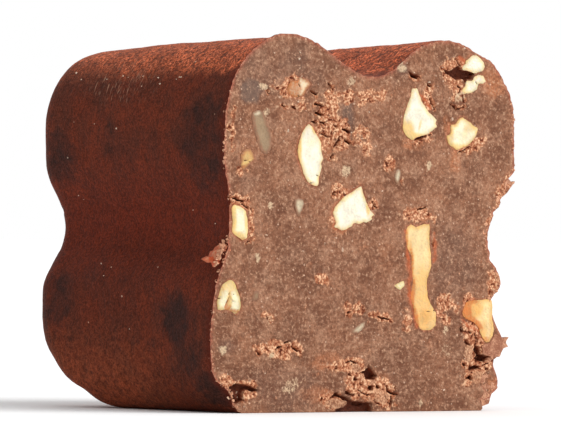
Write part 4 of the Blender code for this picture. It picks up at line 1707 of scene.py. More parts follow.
    grey: tuple[Spot, ...] = each(
        Spot,
        (-10.81, 23.58, 0.9, 0.8, 1.3), (-8.61, 25.48, 4.4, 2.2, 0.36), (-1.81, 21.98, 0.6, 1.5, 0.7),
        (3.29, 25.48, 0.6, 0.5, 0.7), (8.49, 11.04, 2.4, 2.8, 0.35), (-7.48, 1.75, 3.4, 1.6, 0.4),
        (-12.8, 4.9, 0.9, 0.5, 0.5), (-10.91, 16.88, 1.0, 0.5, 0.3),
    )
    # Oily red streaks beside nuts.
    stains: tuple[Slit, ...] = each(
        Slit,
        (3.69, 13.44, 3.99, 11.44, 0.6, 0.0), (4.09, 11.64, 4.19, 8.64, 0.9, 0.0),
        (4.19, 8.64, 4.92, 6.25, 0.9, 0.0), (6.49, 13.44, 6.49, 11.04, 0.5, 0.0),
        (5.04, 23.78, 6.09, 22.58, 0.4, 0.0), (8.69, 26.48, 9.29, 26.28, 0.6, 0.0),
        (9.2, 6.84, 10.8, 5.95, 0.5, 0.0),
    )
    dusk: Spot = Spot(0.0, 4.0, 17.0, 10.0)

    def depth(self, places: Array) -> tuple[Array, Traits]:
        """How far the face stands back at places, and what its finish reads there.

        Args:
            places: One place a row, across and up.

        Returns:
            The depths behind the knife's plane, and the traits.
        """
        sway = np.column_stack([grain(places, self.sway_span, seed) for seed in (11.0, 17.0)])
        fine_sway = np.column_stack([grain(places, self.fine_sway_span, seed) for seed in (23.0, 29.0)])
        bent = places + self.bend[0] * sway + self.bend[1] * fine_sway
        thin = places + self.thin_bend[0] * sway + self.thin_bend[1] * fine_sway
        broken = 0.5 * grain(places, 0.75, 43.0) + 0.35 * grain(places, 0.3, 47.0)
        crumb = np.zeros(len(places))
        for zone in self.zones:
            crumb = np.maximum(crumb, zone.share(bent))
        tinge = self.tinge * crumb
        crumb = step(crumb + self.stray + self.ragged * 2 * broken, *self.torn_edge)
        slits = np.zeros(len(places))
        slit_relief = np.zeros(len(places))
        for slit in self.slits:
            cut = slit.share(thin)
            slits = np.maximum(slits, cut)
            slit_relief = np.maximum(slit_relief, slit.depth * cut)
            lip = slit.share(bent, self.slit_lip) + self.lip_ragged * broken
            crumb = np.maximum(crumb, step(lip, *self.lip_edge))
        torn = np.flatnonzero(crumb > 0.02)
        rough = np.zeros(len(places))
        torn_shade = np.zeros(len(places))
        light = np.zeros(len(places))
        rough[torn], torn_shade[torn], light[torn] = self.torn(bent[torn], places[torn])
        relief = self.roll * grain(places, self.roll_span, 3.0)
        relief += self.ripple * grain(places, self.ripple_span, 31.0) + self.set_back
        # Painted shade in the torn cracks and in the slits.
        deep = np.maximum(crumb * torn_shade, step(slits, *self.slit_shade_edge))
        for patch in self.blocks:
            own = patch.share(thin, self.edge_blur)
            rough += own * (patch.depth - self.block_smooth * rough)
            crumb += own * (self.block_crumb - crumb)
            light += own * (self.block_light - light)
            deep *= 1 - own
        relief += crumb * rough + slit_relief
        # Each pit sinks into the face and is painted in shade for its depth.
        for pit in self.pits:
            sunk = pit.share(thin, self.edge_blur)
            wide = pit.depth * (1 + self.pit_sway[0] * sway[:, 0])
            relief += sunk * (wide + self.pit_sway[1] * fine_sway[:, 0])
            deep = np.maximum(deep, sunk * min(1.0, self.pit_shade[0] + self.pit_shade[1] * pit.depth))
        stains = self.stained * sum(stain.share(bent) for stain in self.stains)
        traits = {
            Trait.CRUMB: crumb,
            Trait.LIGHT: light,
            Trait.DEEP: deep,
            Trait.WARM: np.clip(gathered(self.warm, bent) + tinge, 0.0, 1.0),
            Trait.PALE: gathered(self.pale, places + 0.2 * sway + 0.1 * fine_sway),
            Trait.GREY: gathered(self.grey, bent),
            Trait.DUSK: self.dusk.share(places),
            Trait.HALO: np.clip(stains, 0.0, 1.0),
        }
        return relief, traits

    def torn(self, bent: Array, places: Array) -> tuple[Array, Array, Array]:
        """Relief of torn ganache: crumbs and grit with broken cracks between them.

        Args:
            bent: Places moved about at random, so that nothing is straight.
            places: The true places.

        Returns:
            The depths, how strongly each place is painted in shade in cracks and fallen hollows, and how
            light it is, partly a painted highlight on raised crumbs.
        """
        crumbs = grain(bent, self.crumb_size, 41.0)
        grit = grain(places, self.grit_size, 45.0)
        swell = grain(bent, self.crack_size, 51.0)
        crack = np.exp(-((swell / self.crack_width) ** 2))
        crack *= step(grain(places, 1.0, 53.0), *self.crack_gaps)
        fallen = step(-crumbs - 0.7 * grit, *self.fallen_edge)
        depth = -self.crumb_rise * crumbs - self.grit_rise * grit
        depth += self.crack_depth * np.maximum(crack, fallen)
        # Painted shade in cracks and where crumbs have fallen out.
        dark = np.clip(self.crack_shade_strength * crack + self.fallen_shade_strength * fallen, 0.0, 1.0)
        # Lighter where crumbs and grit stand out: the torn ganache's paler colour with a painted highlight.
        return depth, dark, np.clip(self.torn_light + self.crumb_light * crumbs + grit, 0.0, 1.0)


# ---- The bar ----


@dataclass
class Bar:
    """The bar itself, its skin and its cut face in one closed mesh."""

    nuts: Sequence[Nut]
    section: Section = Section()
    skin: Skin = Skin()
    face: CutFace = CutFace()
    rim_count: int = 1200
    front_rings: tuple[float, ...] = (0.0, 0.1, 0.24, 0.45, 0.8)
    ring_step: float = 0.27
    end_turns: int = 26
    cap_rings: int = 12
    fine_step: float = 0.08
    coarseness: int = 3
    rim_clearance: float = 0.055
    rim_width: float = 0.17
    mouth_clearance: float = 0.05
    mouth_reach: float = 0.24
    mouth_drop: float = 0.12
    mouth_to_rim: float = 0.13
    # Depth of a pocket's upright collar, and its size as a share of the mouth.
    collar: Spread = (0.2, 0.985)
    # How strongly a pocket's walls and floor are painted in shade, and how far they take the halo's orange.
    pocket_shade: float = 0.35
    pocket_halo: float = 0.8
    # More than half the length of the longest nut.
    nut_reach: float = 6.0
    mouth_moves: int = 40
    mouth_move: float = 0.03
    fine_margin: float = 0.3
    fine_slit: float = 0.02
    fine_from: float = 0.15
    jitter: float = 0.12
    seed: int = 5

    def shape(self) -> Shape:
        """The bar's closed mesh, with its skin in the first slot and its cut in the second.

        Returns:
            The mesh, ready to be made into an object.
        """
        shape = Shape()
        self.add_cut(shape, self.add_skin(shape))
        return shape

    def add_skin(self, shape: Shape) -> Array:
        """Adds the skin from the cut to the middle of the far end.

        Args:
            shape: What it is added to.

        Returns:
            The rim of the cut, which are the shape's first points.
        """
        outline = self.section.outline(self.rim_count)
        relief, traits = self.face.depth(outline)
        front = [self.skinned(outline, depth, relief) for depth in self.front_rings]
        rim, own = front[0]
        first = shape.add_points(rim, {**traits, **own, Trait.RIM: step(rim[:, 2], 0.3, 0.8)})
        before = shape.add_rings(first, front[1:])
        coarse = [self.skinned(outline[::3], depth, relief[::3]) for depth in self.ring_depths()]
        first = shape.add_points(*coarse[0])
        shape.narrow(before, first, len(coarse[0][0]))
        self.add_cap(shape, coarse[-1][0], shape.add_rings(first, coarse[1:]))
        return rim

    def skinned(self, outline: Array, depth: float, relief: Array) -> tuple[Array, Traits]:
        """A ring of the skin at a depth, with its traits."""
        ring = self.skin.ring(outline, depth, relief)
        return ring, self.skin.traits(ring, depth)

    def ring_depths(self) -> list[float]:
        """Depths of the skin's coarser rings, closer together round the far end.

        Returns:
            The depths in order.
        """
        skin = self.skin
        start = self.front_rings[-1] + self.ring_step
        turn_from = skin.length - skin.end_radius_base
        straight = np.arange(start, turn_from - 0.5 * self.ring_step, self.ring_step)
        turns = np.linspace(0, math.pi / 2, self.end_turns)
        return [*straight, *(turn_from + skin.end_radius_base * np.sin(turns))]

    def add_cap(self, shape: Shape, last: Array, before: int) -> None:
        """Closes the far end with rings that shrink to its middle.

        Args:
            shape: What it is added to.
            last: The skin's last ring.
            before: The number of that ring's first point.
        """
        skin, rings = self.skin, []
        for share in np.linspace(1, 0, self.cap_rings + 1)[1:-1]:
            heights = skin.core_z + (last[:, 2] - skin.core_z) * share
            depths = skin.length - skin.groove(heights) + skin.end_dome * (1 - share**2) ** 2
            places = np.column_stack([last[:, 0] * share, depths, heights])
            places[:, 1] -= skin.dents * (1 + grain(places, skin.dents_span, 5.0)) * (1 - share)
            rings.append((places, skin.traits(places, skin.length)))
        depth = skin.length - skin.groove(np.array([skin.core_z]))[0] + skin.end_dome - skin.dents
        middle = np.array([[0.0, depth, skin.core_z]])
        before = shape.add_rings(before, rings)
        shape.fan(before, shape.add_points(middle, skin.traits(middle, skin.length)), len(last))

    def add_cut(self, shape: Shape, rim: Array) -> None:
        """Fills the cut with torn ganache and leaves a pocket for each nut.

        Args:
            shape: What it is added to.
            rim: The rim's points, which are the shape's first ones.
        """
        flat_rim = rim[:, [0, 2]]
        mouths = [self.kept_in(flat_rim, grown(nut.outline, nut.gap)) for nut in self.nuts]
        lattice = self.lattice(flat_rim, mouths)
        relief, traits = self.faced(lattice)
        near_rim = np.exp(-((distance_to(flat_rim, lattice, 1.0) / self.rim_width) ** 2))
        traits[Trait.RIM] = near_rim * step(lattice[:, 1], 0.3, 0.8)
        first = shape.add_points(stood(lattice, relief), traits)
        numbers = [np.arange(len(rim)), first + np.arange(len(lattice))]
        for nut, mouth in zip(self.nuts, mouths):
            relief, traits = self.faced(mouth)
            first = shape.add_points(stood(mouth, np.minimum(relief, self.mouth_drop)), traits)
            numbers.append(first + np.arange(len(mouth)))
            self.add_pocket(shape, nut, mouth, first)
        triangles = np.array(filled(flat_rim, lattice, mouths))
        middles = np.vstack([flat_rim, lattice, *mouths])[triangles].mean(axis=1)
        within = np.zeros(len(triangles), bool)
        for mouth in mouths:
            near = np.abs(middles - mouth.mean(axis=0)).max(axis=1) < self.nut_reach
            spots = np.flatnonzero(near & ~within)
            within[spots] = inside(mouth, middles[spots])
        faces = np.concatenate(numbers)[triangles[~within]]
        shape.add_faces([tuple(face) for face in faces.tolist()], 1)

    def faced(self, places: Array) -> tuple[Array, Traits]:
        """The cut face at places, with the nuts' stains.

        Args:
            places: One place a row.

        Returns:
            The depths behind the knife's plane, and the traits.
        """
        relief, traits = self.face.depth(places)
        traits[Trait.HALO] = np.maximum(traits[Trait.HALO], self.halo(places))
        return relief, traits

    def add_pocket(self, shape: Shape, nut: Nut, mouth: Array, first: int) -> None:
        """Adds the walls and the floor of a nut's pocket.

        Args:
            shape: What they are added to.
            nut: The nut.
            mouth: The pocket's edge on the cut face.
            first: The number of the mouth's first point.
        """
        # The pocket's walls and floor are painted in shade.
        dark = {Trait.DEEP: self.pocket_shade, Trait.HALO: self.pocket_halo}
        collar_depth, collar_share = self.collar
        rings = []
        for ring, depth in nut.pocket():
            share = collar_share if depth < collar_depth else self.shrink(nut, mouth, ring)
            rings.append((stood(nut.level(mouth, share), depth), dark))
        last = shape.add_rings(first, rings, 1)
        floor = stood(nut.middle[None], nut.depth + 2 * nut.gap)
        shape.fan(last, shape.add_points(floor, dark), len(mouth), 1)

    @staticmethod
    def shrink(nut: Nut, mouth: Array, ring: Array) -> float:
        """How much smaller a pocket's ring is than its mouth."""
        inner, outer = (np.linalg.norm(line - nut.middle, axis=1).mean() for line in (ring, mouth))
        return float(inner / outer)

    def kept_in(self, rim: Array, mouth: Array) -> Array:
        """Draws a pocket's mouth in where it would come too near the rim or cross it.

        Args:
            rim: The rim's points.
            mouth: The mouth's points.

        Returns:
            The mouth, with as many points.
        """
        middle = mouth.mean(axis=0)
        kept = mouth.copy()
        for _ in range(self.mouth_moves):
            close = (distance_to(rim, kept, 1.0) < self.mouth_to_rim) | ~inside(rim, kept)
            if not close.any():
                break
            kept[close] += (middle - kept[close]) * self.mouth_move
        return kept

    def lattice(self, rim: Array, mouths: Sequence[Array]) -> Array:
        """Places on the cut face, closer together where it is torn or coloured finely.

        Args:
            rim: The rim of the cut.
            mouths: The edges of the nuts' pockets.

        Returns:
            One place a row.
        """
        low, high = rim.min(axis=0), rim.max(axis=0)
        size = self.fine_step
        rows = np.arange(int((high[1] - low[1]) / (size * math.sqrt(3) / 2)) + 1)
        columns = np.arange(int((high[0] - low[0]) / size) + 1)
        column, row = (grid.ravel() for grid in np.meshgrid(columns, rows))
        slant = column - row // 2
        across = low[0] + (column + 0.5 * (row % 2)) * size
        places = np.column_stack([across, low[1] + row * size * math.sqrt(3) / 2])
        face = self.face
        fine = np.zeros(len(places))
        for share in (
            *(zone.share(places) for zone in (*face.zones, *face.pale)),
            *(patch.share(places, self.fine_margin) for patch in (*face.pits, *face.blocks)),
            *(slit.share(places) > self.fine_slit for slit in face.slits),
            *(distance_to(mouth, places, self.fine_margin) < self.mouth_reach for mouth in mouths),
        ):
            fine = np.maximum(fine, share)
        keep = (fine > self.fine_from) | ((slant % self.coarseness == 0) & (row % self.coarseness == 0))
        keep &= distance_to(rim, places, 1.0) > self.rim_clearance
        places = places[keep]
        places = places[inside(rim, places)]
        for mouth in mouths:
            outer = distance_to(mouth, places, 1.0) > self.mouth_clearance
            places = places[outer & ~inside(mouth, places)]
        draw = np.random.default_rng(self.seed)
        return places + draw.uniform(-self.jitter, self.jitter, places.shape) * size

    def halo(self, places: Array) -> Array:
        """How strongly the nuts have stained the ganache at places.

        Args:
            places: One place a row.

        Returns:
            One strength a place.
        """
        found = np.zeros(len(places))
        for nut in self.nuts:
            found = np.maximum(found, nut.halo(places))
        return np.clip(found, 0, 1)

    def on_skin(self, side: Array, height: float, depth: float) -> Array:
        """A point of the skin.

        Args:
            side: The section's points on its side.
            height: Its height at the cut.
            depth: Its depth behind the cut.

        Returns:
            The point.
        """
        start = side[[np.abs(side[:, 1] - height).argmin()]]
        return self.skin.ring(start, depth, np.zeros(1))[0]


# ---- Crumbs and specks ----


@dataclass(frozen=True)
class Heap:
    """Specks on the skin: height and depth, each with its spread, how many and how large."""

    height: Spread
    depth: Spread
    count: int
    size: Spread


def ball(level: int) -> tuple[Array, list[tuple[int, ...]]]:
    """Points and triangles of a ball of radius 1, finer with each level.

    Args:
        level: How fine it is.

    Returns:
        The points and the triangles.
    """
    shape = bmesh.new()
    bmesh.ops.create_icosphere(shape, subdivisions=level, radius=1.0)
    points = np.array([vertex.co for vertex in shape.verts])
    faces = [tuple(vertex.index for vertex in face.verts) for face in shape.faces]
    shape.free()
    return points, faces


@dataclass
class Lumps:
    """Many small lumps in one mesh."""

    draw: random.Random
    shape: Shape = field(default_factory=Shape)

    def add(self, at: Place, half: Place, tone: float, level: int, dent: float, warm: float = 0.0) -> None:
        """Adds an angular lump.

        Args:
            at: Its middle.
            half: Half its size along its own axes.
            tone: How light it is.
            level: How fine its mesh is.
            dent: How rough it is, as a share of its size.
            warm: How orange it is.
        """
        points, faces = ball(level)
        seed = self.draw.uniform(0, 90)
        if level > 2:
            rough = 1 + 1.8 * dent * grain(points, 0.8, seed) + 0.8 * dent * grain(points, 0.3, seed + 5)
            creases = 0.9 * dent * np.abs(grain(points, 0.5, seed + 9))
            rough -= creases + 0.3 * dent * grain(points, 0.12, seed + 2)
        else:
            rough = np.array([1 + dent * self.draw.uniform(-1, 1) for _ in points])
        turn = Matrix.Rotation(self.draw.uniform(0, math.pi), 3, Vector(self.direction()))
        stretched = points * rough[:, None] * np.array(half)
        placed = stretched @ np.array(turn).T + np.array(at)
        first = self.shape.add_points(placed, {Trait.TONE: tone, Trait.WARM: warm})
        self.shape.add_faces(faces, first=first)

    def add_chip(self, at: Place, size: float, tone: float) -> None:
        """Adds a small chip with flat facets."""
        half = (size, size * self.draw.uniform(0.35, 0.8), size * self.draw.uniform(0.4, 0.9))
        self.add(at, half, tone, 1, 0.5)

    def direction(self) -> Place:
        """A direction picked at random."""
        return tuple(self.draw.gauss(0, 1) for _ in range(3))


@dataclass(frozen=True)
class RimHeap:
    """Crumbs along the rim of the cut: which side, between which heights, how many and how large."""

    hand: int
    low: float
    high: float
    count: int
    size: Spread
    out: float = 0.0
    tone: Spread = (0.2, 1.0)


@dataclass(frozen=True)
class Flake:
    """A large crumb: its middle, half its size along each axis, and its tone."""

    at: Place
    half: Place
    tone: float
    warm: float = 0.0


@dataclass(frozen=True)
class Shard:
    """A sharp flake that sticks out past the cut's rim, from a front to a back depth."""

    front: float
    back: float
    tone: float
    warm: float
    outline: tuple[Spread, ...]
    spacing: float = 0.1
    rough: float = 0.03
    # Shares of the thickness, each with the size of the flake there.
    profile: tuple[Spread, ...] = ((0.3, 1.0), (0.7, 0.93), (1.0, 0.75))

    def add_to(self, shape: Shape) -> None:
        """Adds the flake to a shape.

        Args:
            shape: What it is added to.
        """
        corners = np.array(self.outline)
        outline = even_outline(corners, int(perimeter(corners) / self.spacing))
        outline += 0.6 * self.rough * np.column_stack([grain(outline, 0.3, 61.0), grain(outline, 0.3, 67.0)])
        middle = outline.mean(axis=0)
        lattice = hexagonal(outline, self.spacing, 0.6)
        flat = np.vstack([outline, lattice])
        depth = self.front + 2 * self.rough * grain(flat, 0.6, 71.0) + self.rough * grain(flat, 0.2, 73.0)
        # Painted highlight: each flake is lighter towards its right-hand end.
        tip_highlight = 0.5 * step(flat[:, 0] - middle[0], 0.5, 1.6)
        tone = np.clip(self.tone + 0.3 * grain(flat, 0.5, 79.0) + tip_highlight, 0.0, 1.0)
        warm = np.clip(self.warm + self.warm * grain(flat, 0.4, 89.0), 0.0, 1.0)
        before = shape.add_points(stood(flat, depth), {Trait.TONE: tone, Trait.WARM: warm})
        shape.add_faces(filled(outline, lattice), first=before)
        rings = []
        for share, drawn_in in self.profile:
            ring = middle + (outline - middle) * drawn_in
            depths = self.front + (self.back - self.front) * share + self.rough * grain(ring, 0.25, 83.0)
            rings.append((stood(ring, depths), {Trait.TONE: self.tone * 0.7, Trait.WARM: self.warm}))
        last = shape.add_rings(before, rings)
        tip = shape.add_points(stood(middle[None], self.back), {Trait.TONE: self.tone})
        shape.fan(last, tip, len(outline))


@dataclass(frozen=True)
class Crumbs:
    """Crumbs and flakes that cling to the rim and lie loose in the torn patches."""

    flakes: tuple[Flake, ...] = each(
        Flake,
        ((-13.8, 0.8, 4.8), (0.25, 0.25, 0.4), 1.0), ((-12.7, 0.7, 12.0), (0.6, 0.4, 0.5), 0.7, 0.55),
        ((-12.95, 0.75, 11.05), (0.5, 0.35, 0.35), 0.45, 0.85),
        ((-12.4, 0.5, 11.6), (0.4, 0.3, 0.3), 1.0, 0.3),
        ((-12.75, 0.6, 12.55), (0.22, 0.2, 0.22), 1.0, 0.1),
    )
    rim_heaps: tuple[RimHeap, ...] = each(
        RimHeap,
        (-1, 17.0, 24.0, 16, (0.05, 0.13), 0.05, (0.3, 0.9)),
        (-1, 18.4, 21.5, 16, (0.06, 0.18), 0.08, (0.3, 0.9)), (-1, 15.0, 16.4, 14, (0.06, 0.16), 0.06),
        (-1, 10.8, 12.4, 60, (0.06, 0.18), 0.7, (0.3, 1.0)),
        (-1, 9.6, 13.0, 20, (0.06, 0.16), 0.2, (0.1, 0.8)), (-1, 2.5, 9.0, 26, (0.05, 0.14), 0.04),
        (-1, 0.4, 2.5, 34, (0.07, 0.18), -0.05), (1, 15.2, 17.0, 40, (0.05, 0.15), -0.05, (0.5, 1.0)),
        (1, 10.0, 15.2, 46, (0.04, 0.12), -0.1, (0.5, 1.0)),
        (1, 7.4, 10.0, 46, (0.05, 0.15), -0.08, (0.5, 1.0)), (1, 2.9, 4.0, 20, (0.06, 0.16), -0.35),
        (1, 0.2, 1.6, 12, (0.05, 0.12), -0.3), (1, 17.6, 24.0, 60, (0.05, 0.14), -0.02, (0.5, 1.0)),
        (1, 13.3, 17.3, 70, (0.06, 0.2), -0.2, (0.7, 1.0)),
    )
    shards: tuple[Shard, ...] = each(
        Shard,
        (0.9, 1.6, 0.75, 0.7, ((-14.36, 11.25), (-13.91, 11.47), (-13.63, 11.4), (-13.45, 11.87),
            (-13.08, 11.98), (-12.9, 12.28), (-12.44, 12.21), (-11.89, 12.31), (-11.52, 11.99),
            (-11.71, 11.55), (-12.07, 11.48), (-12.44, 11.11), (-12.99, 11.14), (-13.27, 10.89),
            (-13.63, 11.1), (-13.91, 11.03))),
        (0.8, 1.4, 0.4, 0.85, ((-13.52, 11.1), (-13.07, 11.25), (-12.52, 11.18), (-12.06, 11.48),
            (-11.97, 11.11), (-12.43, 10.82), (-12.7, 10.45), (-12.92, 9.93), (-13.1, 10.37),
            (-13.34, 10.59))),
        (0.4, 0.9, 0.7, 0.45, ((-12.67, 12.72), (-12.4, 12.53), (-12.18, 12.75), (-12.0, 12.5),
            (-11.72, 12.5), (-11.81, 12.06), (-12.27, 11.91), (-12.82, 12.06))),
        (0.0, 1.5, 0.3, 0.0, ((11.14, 4.83), (11.43, 5.0), (11.82, 5.05), (12.21, 5.4), (12.4, 5.79),
            (12.79, 5.58), (13.04, 5.43), (13.37, 5.46), (13.74, 5.53), (13.51, 5.28), (13.43, 5.1),
            (13.68, 4.79), (13.27, 4.69), (13.06, 4.42), (12.85, 4.04), (12.3, 3.98), (11.72, 4.12),
            (11.3, 4.24))),
        (0.1, 0.9, 0.5, 0.0, ((12.55, 16.55), (12.89, 16.98), (13.33, 17.27), (13.64, 17.5),
            (13.92, 17.24), (14.46, 17.29), (14.05, 16.99), (13.76, 16.71), (13.37, 16.44), (12.89, 16.21))),
        (0.06, 1.4, 0.42, 0.0, ((11.24, 2.77), (11.59, 2.84), (11.86, 2.54), (12.21, 2.24), (12.56, 2.04),
            (12.73, 1.74), (12.54, 1.51), (12.21, 1.29), (11.96, 1.0), (11.99, 0.81), (11.92, 0.51),
            (11.14, 0.29), (10.95, 1.49))),
    )
    flake_level: int = 5
    flake_dent: float = 0.3
    rim_count: int = 900
    rim_depth: Spread = (0.0, 0.22)
    rim_inset: Spread = (0.0, 0.25)
    beside_rim: float = 8.0
    tries: int = 4200
    across: Spread = (-13.5, 13.5)
    up: Spread = (0.2, 26.5)
    rim_margin: float = 0.3
    loose_share: float = 0.3
    loose_size: Spread = (0.035, 0.085)
    loose_tone: Spread = (0.1, 1.0)
    proud: float = 0.01
    seed: int = 41

    def shape(self, bar: Bar) -> Shape:
        """The crumbs that cling to a bar, in one mesh.

        Args:
            bar: The bar.

        Returns:
            The mesh, ready to be made into an object.
        """
        lumps = Lumps(random.Random(self.seed))
        for flake in self.flakes:
            lumps.add(flake.at, flake.half, flake.tone, self.flake_level, self.flake_dent, flake.warm)
        for shard in self.shards:
            shard.add_to(lumps.shape)
        rim = bar.section.outline(self.rim_count)
        for heap in self.rim_heaps:
            self.add_on_rim(lumps, heap, bar, rim[rim[:, 0] * heap.hand > self.beside_rim])
        self.add_loose(lumps, bar, rim)
        return lumps.shape

    def add_on_rim(self, lumps: Lumps, heap: RimHeap, bar: Bar, side: Array) -> None:
        """Adds one stretch of crumbs on the rim.

        Args:
            lumps: What they are added to.
            heap: The stretch.
            bar: The bar.
            side: The section's points on that side.
        """
        draw = lumps.draw
        for _ in range(heap.count):
            at = bar.on_skin(side, draw.uniform(heap.low, heap.high), draw.uniform(*self.rim_depth))
            at[0] += heap.hand * (heap.out - draw.uniform(*self.rim_inset))
            lumps.add_chip(at, draw.uniform(*heap.size), draw.uniform(*heap.tone))

    def add_loose(self, lumps: Lumps, bar: Bar, rim: Array) -> None:
        """Adds crumbs where the cut face is torn.

        Args:
            lumps: What they are added to.
            bar: The bar.
            rim: The section's points.
        """
        draw = lumps.draw
        places = np.array([(draw.uniform(*self.across), draw.uniform(*self.up)) for _ in range(self.tries)])
        places = places[inside(grown(rim, -self.rim_margin), places)]
        for nut in bar.nuts:
            places = places[~inside(nut.outline, places)]
        relief, traits = bar.face.depth(places)
        for place, depth, share in zip(places, relief, traits[Trait.CRUMB]):
            if share * self.loose_share > draw.random():
                at = (place[0], depth + self.proud, place[1])
                lumps.add_chip(at, draw.uniform(*self.loose_size), draw.uniform(*self.loose_tone))


@dataclass(frozen=True)
class Specks:
    """Specks of nut meal in the cut face and of sugar on the skin."""

    named: tuple[Spread, ...] = ((-7.4, 20.8), (-9.0, 18.4), (-3.9, 12.5), (-5.9, 11.9), (-9.3, 13.1),
        (-2.2, 12.0), (3.5, 11.7), (4.5, 25.3), (5.9, 24.6), (8.1, 21.9), (6.0, 18.5), (-8.7, 26.5),
        (-6.3, 26.6), (-6.4, 26.1), (-6.3, 25.4), (-6.2, 24.8), (9.2, 27.2), (9.5, 3.9), (7.5, 1.6),
        (-12.6, 1.5), (-12.7, 1.1), (-11.6, 1.5))
    scattered: int = 90
    named_size: Spread = (0.07, 0.13)
    scattered_size: Spread = (0.03, 0.075)
    level: int = 2
    rough: float = 0.35
    flatness: float = 0.35
    length: Spread = (0.5, 1.6)
    tone: Spread = (0.2, 1.0)
    proud: float = 0.02
    across: Spread = (-13.0, 13.0)
    up: Spread = (0.6, 26.5)
    rim_count: int = 300
    rim_margin: float = 0.6
    nut_margin: float = 0.15
    skin_count: int = 600
    skin_flatness: float = 0.8
    beside_rim: float = 9.0
    seed: int = 77
    skin_heaps: tuple[Heap, ...] = each(
        Heap,
        ((25.0, 1.0), (14.0, 8.5), 14, (0.03, 0.08)),
        ((12.0, 10.0), (10.0, 10.0), 14, (0.03, 0.07)),
    )

    def shape(self, bar: Bar) -> Shape:
        """The specks that lie in a bar, in one mesh.

        Args:
            bar: The bar.

        Returns:
            The mesh, ready to be made into an object.
        """
        draw = random.Random(self.seed)
        lumps = Lumps(draw)
        tries = 3 * self.scattered
        loose = np.array([(draw.uniform(*self.across), draw.uniform(*self.up)) for _ in range(tries)])
        loose = loose[inside(grown(bar.section.outline(self.rim_count), -self.rim_margin), loose)]
        for nut in bar.nuts:
            loose = loose[~inside(grown(nut.outline, self.nut_margin), loose)]
        places = np.vstack([self.named, loose[: self.scattered]])
        depths, _ = bar.face.depth(places)
        for number, (place, depth) in enumerate(zip(places, depths)):
            size = draw.uniform(*(self.named_size if number < len(self.named) else self.scattered_size))
            half = (size, size * self.flatness, size * draw.uniform(*self.length))
            at = (place[0], max(depth, 0.0) + self.proud, place[1])
            lumps.add(at, half, draw.uniform(*self.tone), self.level, self.rough)
        self.add_on_skin(lumps, bar)
        return lumps.shape

    def add_on_skin(self, lumps: Lumps, bar: Bar) -> None:
        """Adds the specks that lie on the left of the skin.

        Args:
            lumps: What they are added to.
            bar: The bar.
        """
        draw = lumps.draw
        outline = bar.section.outline(self.skin_count)
        left = outline[outline[:, 0] < -self.beside_rim]
        for heap in self.skin_heaps:
            for _ in range(heap.count):
                height = heap.height[0] + heap.height[1] * draw.uniform(-1, 1)
                depth = heap.depth[0] + heap.depth[1] * draw.uniform(-1, 1)
                at = bar.on_skin(left, height, depth)
                size = draw.uniform(*heap.size)
                half = (size, size, size * self.skin_flatness)
                lumps.add(at, half, draw.uniform(*self.tone), self.level, self.rough)


# ---- Nut looks ----


